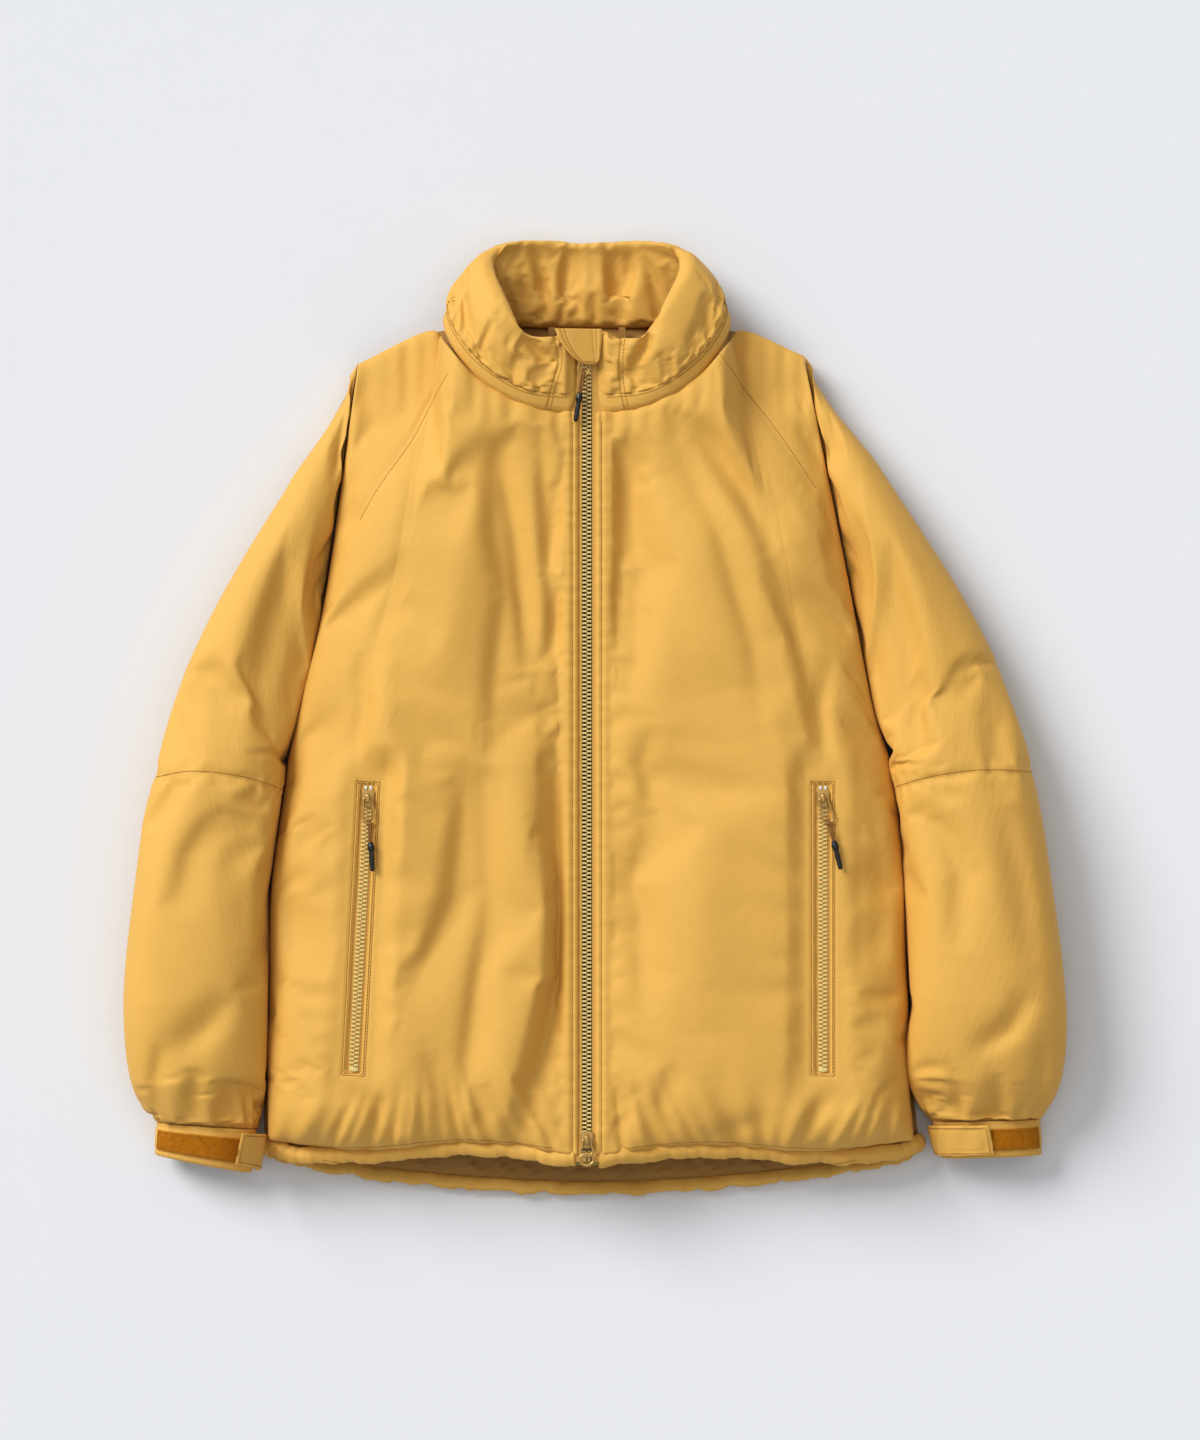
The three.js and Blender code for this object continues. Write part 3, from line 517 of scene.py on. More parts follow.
def pad(name, top, under, materials):
    """A closed padded panel from two grids of the same size. The underside takes the second material."""
    rows, columns = top.shape[:2]
    count = rows * columns
    upper = grid_faces(rows, columns)
    lower = grid_faces(rows, columns, flip=True) + count
    rim = np.concatenate([
        np.arange(columns),
        np.arange(1, rows) * columns + columns - 1,
        (rows - 1) * columns + np.arange(columns - 2, -1, -1),
        np.arange(rows - 2, 0, -1) * columns,
    ])
    after = np.roll(rim, -1)
    edge = np.stack([after, rim, rim + count, after + count], -1)
    points = np.concatenate([top.reshape(-1, 3), under.reshape(-1, 3)])
    uv = np.concatenate([arc_lengths(top).reshape(-1, 2)] * 2)
    kinds = [0] * len(upper) + [1] * len(lower) + [0] * len(edge)
    return face_out(piece_from(name, points, [*upper, *lower, *edge], uv, materials, kinds))


def pipe(name, outer, inner, materials):
    """A closed wall between two tubes of rings. The inner tube takes the second material."""
    around = outer.shape[1]
    count = len(outer) * around
    faces = list(grid_faces(len(outer), around, True))
    inside = list(grid_faces(len(inner), around, True, True) + count)
    end = count + (len(inner) - 1) * around
    for i in range(around):
        j = (i + 1) % around
        faces.append([j, i, count + i, count + j])
        faces.append([count - around + i, count - around + j, end + j, end + i])
    kinds = [0] * len(faces) + [1] * len(inside)
    uv = np.concatenate([arc_lengths(outer).reshape(-1, 2), arc_lengths(inner).reshape(-1, 2)])
    points = np.concatenate([outer.reshape(-1, 3), inner.reshape(-1, 3)])
    return face_out(piece_from(name, points, [*faces, *inside], uv, materials, kinds))


def settle(made, slot, body, *nodes):
    """Hides the solids that a piece stands for and hangs the piece on the body that carries it. Its slot is
    not used.
    """
    if nodes:
        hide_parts(*nodes)
    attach(made, body)
    print(made.name, len(made.data.polygons), "faces")


# %% [markdown]
# A front runs from the zip to the side seam and the armhole, and from the hem to the collar. Its top is a
# low crown that rolls down steeply at the side, where the sleeve presses against it, and at the hem, where
# the channel gathers it. The pocket zip lies in a shallow trough with rolled edges. The sewn lines pull
# narrow channels into the cloth, and they are pressed in after the simulation, which would wash them out.

# %% Sizes and outlines of the fronts
ZIP_X = -7.5
ZIP_HALF_GAP = 7.5  # from the zip's centre to each front's edge
PANEL = 16.6  # thickness of the padding with both its cloths
CHEST = 70
PUFF = 8
SIDE_Z = 27  # the fronts' top along the side seam
ARMHOLE_Z = 40
BACK_TOP = 17.2
SIDE_EDGE = {
    "right": [(-289, -362), (-289, -310), (-286, -239), (-283, -143), (-273, -68), (-259, 16), (-240, 95)],
    "left": [(281, -362), (276, -314), (273, -239), (269.5, -143), (262.5, -63), (243, 16), (228, 93)],
}
FRONT_FOOT = -372  # where the side seam meets the hem
SHOULDER = {"right": (-209, 312), "left": (183.5, 319)}
NECK = {"right": (-141, 341), "left": (126, 341)}
FRONT_NECK = [(7.5, 267), (50, 274), (95, 297), (125, 330)]  # out from the zip's centre
FRONT_HEM = {  # the channel's centre line, with its height
    "right": [(-17.5, -386, 58), (-110, -377, 50), (-200, -384, 42), (-262, -384, 34)],
    "left": [(2.5, -386, 58), (100, -379, 50), (190, -385, 42), (252, -384, 34)],
}
HEM_SEAM = 3  # from the channel's centre line up to the panel
SIDE_EASE = 3  # the side rolls out this far against the sleeve
POCKETS = {"right": (-198.5, -59, -3), "left": (199, -59, 0)}  # each zip's top, and its tilt in degrees
POCKET_LENGTH = 251
POCKET_Z = 74.9
RAGLAN = {
    "right": [(-132, 302), (-148, 274), (-164, 243), (-179, 222), (-193, 202), (-208, 176)],
    "left": [(107, 317), (122, 298), (136, 279), (151, 260), (166, 239), (190.5, 202)],
}


def front_plan(side):
    """The plan of a front as a patch of u from the zip and v from the hem."""
    sign = SIDES[side]
    zip_x = ZIP_X + sign * ZIP_HALF_GAP
    hem = np.array(FRONT_HEM[side])[:, :2] + (0, HEM_SEAM)
    corner = (SIDE_EDGE[side][0][0], FRONT_FOOT)
    bottom = [(zip_x, hem[0][1]), hem[1], hem[2], corner]
    neck = [(ZIP_X + sign * x, y) for x, y in FRONT_NECK]
    top = [*neck, NECK[side], SHOULDER[side]]
    side_edge = [corner, *SIDE_EDGE[side][1:], SHOULDER[side]]
    start = [bottom[0], (zip_x, 0), top[0]]
    return patch(curve(bottom), curve(top), curve(start), curve(side_edge))


def roll(share):
    """How far a quarter-round edge has fallen, from 0 at its start to 1 at its end."""
    return 1 - np.sqrt(1 - np.clip(share, 0, 1) ** 2)


def pocket_frame(side, x, y):
    """Plan points in a pocket zip's own frame: off its centre line, and down it from its top."""
    px, py, tilt = POCKETS[side]
    turn = math.radians(tilt)
    dx, dy = x - px, y - py
    return dx * math.cos(turn) + dy * math.sin(turn), dx * math.sin(turn) - dy * math.cos(turn)


# %% The height of a front
def raised_front(side, u, v):
    """The points of a front's top before its padding is simulated."""
    sign = SIDES[side]
    plan = front_plan(side)(u, v)
    x, y = plan[..., 0], plan[..., 1]
    side_z = mix(SIDE_Z, ARMHOLE_Z, smooth(v, 0.58, 0.72))
    z = CHEST + PUFF * smooth(u, 0, 0.25) - 44 * smooth(v, 0.85, 1) * smooth(u, 0.5, 0.72)
    crown = 6 * np.exp(-(((u - 0.55) / 0.3) ** 2)) * smooth(v, 0.02, 0.2) * (1 - smooth(v, 0.8, 1))
    z = np.maximum(z + crown, 30)
    z = z + fold_height(FRONT_FOLDS, x, y) * smooth(u, 0.01, 0.08) * (1 - smooth(v, 0.93, 1))
    rolls_from = 0.79 - 0.17 * smooth(v, 0.5, 0.66) * (1 - smooth(v, 0.8, 0.92))
    z = z - np.maximum(z - side_z, 0) * roll((u - rolls_from) / (1 - rolls_from))
    hem_z = curve([(p[2],) for p in FRONT_HEM[side]])(u)[..., 0] + 1 + 11 * (1 - smooth(u, 0.04, 0.2))
    z = z - np.maximum(z - hem_z, 0) * roll((0.075 - v) / 0.075)
    slant = (y + 385) * 0.45 * np.sin(x / 47)
    gather = ripple(sign * x + slant, (31, 17, 57), 5 if side == "left" else 8)
    z = z + 4 * gather * (1 - smooth(v, 0.01, 0.12)) * smooth(u, 0.03, 0.1)
    neck = ripple(sign * x, (31, 19), 11) * smooth(v, 0.93, 1) * smooth(u, 0.02, 0.1)
    z = z + 1.2 * neck - 4 * roll((v - 0.975) / 0.025)
    ease = SIDE_EASE * smooth(u, 0.8, 0.97) * smooth(v, 0.08, 0.2) * (1 - smooth(v, 0.6, 0.72))
    return np.stack([x + sign * ease, y, z], -1)


# %% Sewn lines of a front
PLACKET_STITCH = 12.8  # from the zip's centre to the line sewn beside it
POCKET_STITCHES = (10.2, 8.4)  # from the pocket zip's centre line to the box sewn around it


def channel(distance, width):
    """The pull of a line of stitches at a distance, from 0 to 1."""
    return np.exp(-((distance / width) ** 2))


def sew_front(side, points):
    """Presses the pocket trough and the sewn lines into a front's finished top."""
    sign = SIDES[side]
    x, y, z = points[..., 0], points[..., 1], points[..., 2]
    off, down = pocket_frame(side, x, y)
    ends = smooth(down, -1.5, 0.5) * (1 - smooth(down, POCKET_LENGTH - 0.5, POCKET_LENGTH + 1.5))
    near = (1 - smooth(np.abs(off), 13, 34)) * smooth(down, -40, -6) * (1 - smooth(down, 255, 290))
    z = mix(z, POCKET_Z + 2.6, near)
    trough = (1 - smooth(np.abs(off), 5.6, 7.6)) * ends
    z = mix(z, POCKET_Z - 1.6, trough)
    box = np.maximum(np.abs(off), np.maximum(-down, down - POCKET_LENGTH) + 7)
    z = z - 0.9 * channel(box - POCKET_STITCHES[0], 1.3) - 0.5 * channel(box - POCKET_STITCHES[1], 0.9)
    from_zip = sign * (x - ZIP_X)
    placket = 1 - smooth(from_zip, 16, 26)
    low = mix(CHEST + 1.0, CHEST + 2.2, smooth(from_zip, 8, 12)) + 0.5 * ripple(y, (17, 29, 11), 3 + sign)
    z = mix(z, low, placket * smooth(y, -380, -360))
    z = z - 1.4 * channel(from_zip - PLACKET_STITCH, 1.5) - 2.2 * roll((9.6 - from_zip) / 2.4)
    raglan = from_line(RAGLAN[side], x, y)[0]
    z = z - 1.6 * channel(raglan, 2.6)
    return np.stack([x, y, z], -1)


# %% The fronts
def spaced(stops):
    """Shares from 0 to 1 with a chosen number of steps up to each stop."""
    shares = [0.0]
    for stop, steps in stops:
        shares += list(np.linspace(shares[-1], stop, steps + 1)[1:])
    return np.array(shares)


COLUMNS = spaced([(0.07, 16), (0.63, 50), (0.83, 38), (1, 24)])
ROWS = spaced([(0.08, 26), (0.94, 200), (1, 18)])


def make_front(side):
    """A front: its coarse top is simulated, its fine top sewn, and its underside set below it."""
    v, u = np.meshgrid(np.linspace(0, 1, 130), np.linspace(0, 1, 54), indexing="ij")
    coarse = raised_front(side, u, v)
    off, down = pocket_frame(side, coarse[..., 0], coarse[..., 1])
    pocket = (1 - smooth(np.abs(off), 10, 16)) * (1 - smooth(np.abs(down - POCKET_LENGTH / 2), 126, 134))
    corner = smooth(u, 0.86, 0.93) * (1 - smooth(v, 0.07, 0.12))
    border = np.maximum.reduce([u < 0.05, u > 0.99, v < 0.01, v > 0.992, corner])
    move = puff(f"{side}_front", coarse, np.maximum(border, pocket), grow=0.01, pressure=0.6, cap=5)
    v, u = np.meshgrid(ROWS, COLUMNS, indexing="ij")
    top = sew_front(side, raised_front(side, u, v) + refine(move, ROWS, COLUMNS))
    under = top.copy()
    plan = front_plan(side)(u, v)
    tucked = 0.5 * smooth(u, 0.88, 0.95) * (1 - smooth(v, 0.6, 0.72))
    under[..., :2] = mix(under[..., :2], plan, tucked[..., None])
    under[..., 2] = np.maximum(CHEST + 6 * smooth(u, 0, 0.25) - PANEL, BACK_TOP)
    under[..., 2] = np.minimum(under[..., 2], top[..., 2] - 5)
    under[..., 2] = np.maximum(under[..., 2], np.minimum(BACK_TOP, top[..., 2] - 3))
    front = pad(f"{side}_front", top, under, [outer_cloth, lining_cloth])
    solids = [f"{side}_{part}" for part in ("front_shell", "front_fill", "front_lining", "pocket_bag")]
    settle(front, "outer_cloth", "garment", *solids)
    return front


fronts = {side: make_front(side) for side in SIDES}

# %% [markdown]
# The back lies flat under the fronts. Its lining shows inside the collar and as a puckered strip below the
# front hem, so the padding there gets small gathers that die away from the hem. It spreads a little past
# the side seams, as a loose back does, and so no slit opens beside the sleeves.

# %% The back
BACK_HEM = [(-262, -390), (-160, -406), (0, -415), (150, -406), (254, -390)]
BACK_FOOT = -367
BACK_THICKNESS = 16
BACK_SPREAD = 4
NAPE = [(-60, 347), (ZIP_X, 347), (45, 347)]


def make_back():
    """The back: a flat padded panel whose lining gathers at the hem."""
    hem = [(x, y + HEM_SEAM + 1) for x, y in BACK_HEM]
    right, left = SIDE_EDGE["right"], SIDE_EDGE["left"]
    bottom = curve([(right[0][0], BACK_FOOT), *hem, (left[0][0], BACK_FOOT)])
    top = curve([SHOULDER["right"], NECK["right"], *NAPE, NECK["left"], SHOULDER["left"]])
    start = curve([(right[0][0], BACK_FOOT), *right[1:], SHOULDER["right"]])
    end = curve([(left[0][0], BACK_FOOT), *left[1:], SHOULDER["left"]])
    rows = spaced([(0.12, 34), (1, 60)])
    columns = spaced([(0.05, 8), (0.95, 130), (1, 8)])
    v, u = np.meshgrid(rows, columns, indexing="ij")
    plan = patch(bottom, top, start, end)(u, v)
    x = plan[..., 0] + BACK_SPREAD * (smooth(u, 0.9, 1) - smooth(u, 0.1, 0)) * (1 - smooth(v, 0.6, 0.7))
    y = plan[..., 1]
    edge = np.minimum.reduce([u / 0.04, (1 - u) / 0.04, v / 0.02, (1 - v) / 0.03])
    middle = BACK_THICKNESS / 2
    height = middle * (1 - roll(1 - np.clip(edge, 0, 1)))
    near_hem = 1 - smooth(v, 0, 0.12)
    gather = ripple(x + 9 * np.sin(y / 7), (15, 23, 11), 21) * near_hem * smooth(v, 0, 0.012)
    top_z = middle + height * 0.92 + 3 * gather - 2.6 * near_hem + 0.4
    top_points = np.stack([x, y, np.minimum(top_z, BACK_THICKNESS)], -1)
    under = np.stack([x, y, np.maximum(middle - height, 0)], -1)
    back = pad("back", top_points, under, [lining_cloth, outer_cloth])
    settle(back, "outer_cloth", "garment", "back_shell", "back_fill", "back_lining")


make_back()

# %% [markdown]
# The hem is a channel of cloth with elastic in it. It runs along one front, across the back and along the
# other front as one tube. The elastic bunches the cloth, so the tube's section swells and shrinks in short
# uneven steps along its length. A tube is swept along the curve with a frame that never twists.

# %% Tubes along a path
def cross_axes(path, first, closed=False):
    """Two axes across a path at each of its points, starting near first and never twisting."""
    tangent = np.gradient(path, axis=0)
    if closed:
        tangent = np.roll(path, -1, axis=0) - np.roll(path, 1, axis=0)
    tangent /= np.linalg.norm(tangent, axis=1, keepdims=True)
    side = np.empty_like(path)
    carried = np.array(first, float)
    for k, along in enumerate(tangent):
        carried = carried - along * carried.dot(along)
        carried /= np.linalg.norm(carried)
        side[k] = carried
    return side, np.cross(tangent, side)


def swept(path, first, wide, high, around=16, closed=False):
    """The rings of a tube along a path. wide and high are its half sizes, one number or one for each ring."""
    path = np.asarray(path, float)
    side, up = cross_axes(path, first, closed)
    angle = np.linspace(0, 2 * np.pi, around, endpoint=False)
    wide = np.broadcast_to(np.asarray(wide, float), (len(path),))[:, None, None]
    high = np.broadcast_to(np.asarray(high, float), (len(path),))[:, None, None]
    across = side[:, None] * np.cos(angle)[None, :, None] * wide
    return path[:, None] + across + up[:, None] * np.sin(angle)[None, :, None] * high


def tube_faces(rings, around, closed=False):
    """The faces of a tube of rings, capped at both ends or joined end to end."""
    faces = [list(face) for face in grid_faces(rings, around, around=True)]
    last = (rings - 1) * around
    if closed:
        return faces + [[last + i, last + (i + 1) % around, (i + 1) % around, i] for i in range(around)]
    return [*faces, list(reversed(range(around))), [last + i for i in range(around)]]


# %% The hem channel
HEM_POINTS = [
    (ZIP_X - 10, -386, 58), (-110, -377, 50), (-200, -384, 42), (-262, -384, 34), (-286, -378, 25),
    (-294, -377, 16), (-286, -382, 8), (-262, -390, 6), (-160, -406, 6), (0, -415, 6),
    (150, -406, 6), (254, -390, 6), (278, -382, 8), (286, -377, 16), (278, -378, 25),
    (252, -384, 34), (190, -385, 42), (100, -379, 50), (ZIP_X + 10, -386, 58),
]
HEM_AROUND = 20


def make_hem():
    """The hem: a bunched tube from one zip end round the back to the other."""
    path = curve(HEM_POINTS)(np.linspace(0, 1, 700))
    run = np.concatenate([[0], np.cumsum(np.linalg.norm(np.diff(path, axis=0), axis=1))])
    bunch = ripple(run, (15, 9, 24), 33) * mix(0.5, 1, smooth(-path[:, 2], -22, -8))
    path[:, 1] += 1.6 * ripple(run, (34, 55), 6)
    path[:, 2] += 0.5 * bunch + 7 * (1 - smooth(np.minimum(run, run[-1] - run), 8, 60))
    rings = swept(path, (0, -1, 0), 7.8 + 1.5 * bunch, 5.4 + 0.9 * bunch, HEM_AROUND)
    angle = np.linspace(0, 2 * np.pi, HEM_AROUND, endpoint=False)
    sewn = 0.08 * channel(np.abs(np.cos(angle)) - 0.62, 0.12)[None, :, None]
    centre = path[:, None]
    rings = centre + (rings - centre) * (1 - sewn)
    rings[..., 2] = np.maximum(rings[..., 2], 0.2)
    uv = arc_lengths(rings).reshape(-1, 2)
    faces = tube_faces(len(path), HEM_AROUND)
    hem = face_out(piece_from("hem", rings.reshape(-1, 3), faces, uv, [outer_cloth]))
    settle(hem, "outer_cloth", "garment", "hem_channel", "hem_elastic")
    print("hem", round(float(run[-1])), "mm long")
    return hem


hem = make_hem()

# %% [markdown]
# A sleeve is a fat padded tube that rests on the surface, so its section is rounder above than below. It
# starts low along the armhole, where it is sewn to the body, and swells within a hand's width. At the wrist
# the cuff gathers it into short pleats. It is simulated as a tube held at both ends and a little at the
# elbow seam.

# %% Sizes and folds of the sleeves
SLEEVE = {  # at each station: the outer edge, the inner edge and the thickness
    "right": [
        (-210, 313, -241, 95, 42), (-260, 227, -255, 47, 64), (-313, 135, -265, 7, 74),
        (-353, 47, -272, -29, 82), (-385, -52, -277, -68, 88), (-400, -143, -286, -143, 90),
        (-410.5, -248, -289, -239, 88), (-404, -319, -292, -310, 72), (-386, -357, -299, -363, 44),
    ],
    "left": [
        (184.5, 320, 229, 93, 42), (242, 236, 243, 47, 64), (304, 135, 250, 7, 74),
        (347, 47, 259, -29, 82), (382, -50, 265, -65, 88), (398, -143, 272, -143, 90),
        (410.5, -257, 276, -239, 88), (406, -314, 279, -312, 72), (391, -354, 297, -356, 44),
    ],
}
ELBOW = {  # the elbow seam, in plan
    "right": [(-395, -55), (-385, -54), (-357, -49), (-330, -50), (-302, -55), (-278, -64), (-262, -72)],
    "left": [(252, -70), (264, -63), (291, -54), (330, -48), (362, -48), (382, -50), (395, -53)],
}
SLEEVE_FOLDS = {
    "right": [
        (-6, 14, 10, [(-268, 150), (-286, 83), (-293, 20), (-290, -30)]),
        (-7, 14, 16, [(-318, -235), (-338, -265), (-368, -294)]),
        (-6, 8, 8, [(-378, -280), (-383, -320), (-381, -350)]),
        (-6, 8, 8, [(-348, -300), (-352, -330), (-350, -352)]),
        (-6, 7, 9, [(-318, -312), (-322, -335), (-325, -352)]),
        (-6, 16, 12, [(-330, -85), (-352, -120), (-362, -175)]),
        (-5, 12, 14, [(-300, -80), (-312, -130), (-308, -200)]),
        (4, 20, 18, [(-262, 205), (-300, 120), (-322, 20)]),
        (-5, 16, 12, [(-345, 30), (-362, -10), (-372, -48)]),
    ],
    "left": [
        (-6, 10, 14, [(252, 160), (268, 90), (280, 20), (282, -40)]),
        (-7, 16, 12, [(300, -80), (318, -135), (316, -205)]),
        (-6, 14, 14, [(352, -75), (368, -140), (380, -215)]),
        (-7, 10, 12, [(380, -235), (360, -268), (330, -290)]),
        (-6, 8, 8, [(392, -280), (388, -318), (384, -348)]),
        (-6, 8, 8, [(350, -305), (352, -330), (350, -350)]),
        (-6, 8, 8, [(312, -300), (318, -328), (322, -350)]),
        (4, 18, 20, [(238, 215), (280, 120), (312, 20)]),
        (-5, 12, 14, [(330, 40), (348, -5), (352, -45)]),
    ],
}
AROUND = 112
SLEEVE_PADDING = 14  # from the outer cloth in to the lining


# %% The sleeves
def sleeve_rings(side, share, angle, depth=0):
    """Points of a sleeve at shares of its length and angles from its inner edge over its top."""
    stations = np.array(SLEEVE[side], float)
    outer, inner = curve(stations[:, :2])(share), curve(stations[:, 2:4])(share)
    thick = curve(stations[:, 4:])(share)[..., 0]
    thick = thick - 6 * roll((share - 0.985) / 0.015) - 10 * (1 - smooth(share, 0, 0.03))
    middle = (outer + inner) / 2
    span = np.linalg.norm(outer - inner, axis=-1, keepdims=True)
    across = (inner - outer) / span
    wide = span[..., 0] / 2 - depth + 1.2 * smooth(share, 0.2, 0.3) * (1 - smooth(share, 0.9, 1))
    cos, sin = np.cos(angle), np.sin(angle)
    reach = np.sign(cos) * np.abs(cos) ** 0.86
    lift = np.sign(sin) * np.abs(sin) ** np.where(sin > 0, 0.92, 0.7)
    plan = middle + across * (wide * reach)[..., None]
    z = thick / 2 + (thick / 2 - depth) * lift
    return np.concatenate([plan, z[..., None]], -1)


def raised_sleeve(side, share, angle):
    """A sleeve with its folds and its gathers at the cuff."""
    points = sleeve_rings(side, share, angle)
    top = smooth(np.sin(angle), 0.0, 0.6)
    points[..., 2] += fold_height(SLEEVE_FOLDS[side], points[..., 0], points[..., 1]) * top
    centre = points.mean(axis=1, keepdims=True)
    out = points - centre
    out /= np.maximum(np.linalg.norm(out, axis=-1, keepdims=True), 1)
    pleats = ripple(angle * 40, (19, 12, 31), 14 if side == "left" else 17)
    points += out * (pleats * 3 * smooth(share, 0.9, 0.97) * (1 - 0.4 * smooth(share, 0.985, 1)))[..., None]
    return points


def make_sleeve(side):
    """A sleeve: a simulated outer tube with a sewn elbow, and a smooth lining tube inside it."""
    turns = np.linspace(0, 2 * np.pi, 52, endpoint=False)
    share, angle = np.meshgrid(np.linspace(0, 1, 120), turns, indexing="ij")
    coarse = raised_sleeve(side, share, angle)
    elbow = from_line(ELBOW[side], coarse[..., 0], coarse[..., 1])[0]
    held = np.maximum.reduce([(share < 0.012) * 1.0, (share > 0.99) * 1.0, 0.35 * (elbow < 5)])
    move = puff(f"{side}_sleeve", coarse, held, grow=0.03, pressure=0.5, cap=7, around=True)
    rows = spaced([(0.06, 20), (0.88, 170), (1, 50)])
    columns = np.linspace(0, 1, AROUND, endpoint=False)
    share, angle = np.meshgrid(rows, columns * 2 * np.pi, indexing="ij")
    wrapped = np.concatenate([move, move[:, :1]], axis=1)
    outer = raised_sleeve(side, share, angle) + refine(wrapped, rows, columns)
    elbow = from_line(ELBOW[side], outer[..., 0], outer[..., 1])[0]
    outer[..., 2] -= 1.5 * channel(elbow, 2.4) * smooth(np.sin(angle), 0, 0.3)
    outer[..., 2] = np.maximum(outer[..., 2], 0.3)
    share, angle = np.meshgrid(np.linspace(0.0, 1, 24), columns * 2 * np.pi, indexing="ij")
    inner = sleeve_rings(side, share, angle, SLEEVE_PADDING)
    sleeve = pipe(f"{side}_sleeve", outer, inner, [outer_cloth, lining_cloth])
    solids = [f"{side}_{part}" for part in ("upper_sleeve", "forearm", "sleeve_fill", "sleeve_lining")]
    settle(sleeve, "outer_cloth", "garment", *solids)
    return sleeve


sleeves = {side: make_sleeve(side) for side in SIDES}

# %% [markdown]
# The collar is a padded ring that stands at the back and leans open at the front. Three smooth loops guide
# it: its base, its fullest line and its rim. Its section is a flat loop with round ends, like a bolster.
# The seam above the neck band and the seams beside the zip are held in the simulation, so the puckers start
# from them.

# %% Guide loops of the collar
COLLAR_EDGE = 9
COLLAR_THICKNESS = 14
COLLAR_BASE = [
    (COLLAR_EDGE, 264, 70), (55, 271, 75), (98, 295, 71), (123, 328, 56),
    (127, 349, 34), (100, 349, 12), (45, 345, 4), (0, 345, 2),
]
COLLAR_BULGE = [
    (COLLAR_EDGE, 304, 72), (58, 308, 89), (98, 338, 88), (119, 370, 68),
    (114, 390, 40), (88, 392, 15), (40, 392, 5), (0, 392, 3),
]
COLLAR_RIM = [
    (COLLAR_EDGE, 339, 76), (46, 332, 88), (68, 364, 86), (84, 396, 68),
    (84, 413, 48), (62, 419, 32), (26, 419, 22), (0, 418, 21),
]
BAND_SEAM = 0.21  # share of the outer face up to the seam of the neck band
FACING = {  # the seams beside the zip, in plan
    "right": [(-35, 334), (-31, 313), (-38, 286), (-43, 262)],
    "left": [(24, 334), (22, 312), (23, 290), (29, 262)],
}

# %% Folds of the collar
COLLAR_FOLDS = [
    (-7, 7, 6, [(-66, 332), (-52, 322), (-33, 309)]),
    (-4, 6, 5, [(-80, 345), (-62, 330), (-40, 312)]),
    (-4, 6, 5, [(-70, 318), (-52, 308), (-36, 302)]),
    (-4, 8, 6, [(-102, 330), (-80, 312), (-60, 298)]),
    (-4, 8, 7, [(-118, 372), (-108, 345), (-92, 322)]),
    (-8, 7, 6, [(48, 336), (38, 316), (26, 297)]),
    (-5, 5, 5, [(54, 348), (46, 330), (40, 318)]),
    (-4, 6, 5, [(60, 318), (44, 304), (28, 296)]),
    (-4, 6, 5, [(72, 306), (50, 294), (29, 285)]),
    (-4, 8, 7, [(98, 370), (92, 346), (76, 322)]),
    (-9, 6, 9, [(30, 410), (26, 380), (22, 342)]),
    (-5, 6, 7, [(16, 412), (15, 390), (14, 366)]),
    (-5, 7, 7, [(-22, 412), (-26, 386), (-24, 352)]),
    (-5, 7, 7, [(-52, 412), (-50, 390), (-44, 356)]),
    (-4, 6, 6, [(-70, 400), (-64, 376), (-56, 356)]),
    (4, 12, 12, [(2, 406), (0, 380), (-2, 356)]),
]


# %% The collar's surface
def whole_loop(points):
    """A guide loop from one zip edge round the neck to the other, from its right half."""
    right = [(ZIP_X - x, y, z) for x, y, z in points]
    left = [(ZIP_X + x, y, z) for x, y, z in reversed(points[:-1])]
    return curve([*right, *left])


COLLAR_LOOPS = [whole_loop(points) for points in (COLLAR_BASE, COLLAR_BULGE, COLLAR_RIM)]


def collar_face(u, v):
    """A point of the collar's outer face, u along it and v up it."""
    base, bulge, rim = (loop(np.clip(u, 0, 1)) for loop in COLLAR_LOOPS)
    v = np.asarray(v, float)[..., None]
    return mix(mix(base, bulge, v), mix(bulge, rim, v), v)


def collar_point(u, v, depth):
    """A point of the collar, depth in from its outer face."""
    along = collar_face(u + 0.004, v) - collar_face(u - 0.004, v)
    up = collar_face(u, np.clip(v + 0.05, 0, 1)) - collar_face(u, np.clip(v - 0.05, 0, 1))
    inward = np.cross(along, up)
    inward /= np.linalg.norm(inward, axis=-1, keepdims=True)
    inward[..., 0] *= smooth(np.minimum(u, 1 - u), 0, 0.1)
    inward[..., 1] = np.maximum(inward[..., 1], -0.15)
    inward /= np.linalg.norm(inward, axis=-1, keepdims=True)
    return collar_face(u, v) + inward * np.asarray(depth)[..., None]


def bolster_section():
    """Shares of the collar's height and of its thickness around its section, from the outer face's base."""
    end = 0.095  # share of the height that each round end takes
    turn = np.linspace(-np.pi / 2, np.pi / 2, 11)[1:-1]
    outer = np.linspace(end, 1 - end, 40)
    inner = np.linspace(1 - end, end, 32)
    height = np.concatenate([outer, 1 - end + end * np.cos(turn), inner, end - end * np.cos(turn)])
    depth = np.concatenate([0 * outer, 0.5 + 0.5 * np.sin(turn), 0 * inner + 1, 0.5 - 0.5 * np.sin(turn)])
    return height, depth


SECTION = bolster_section()


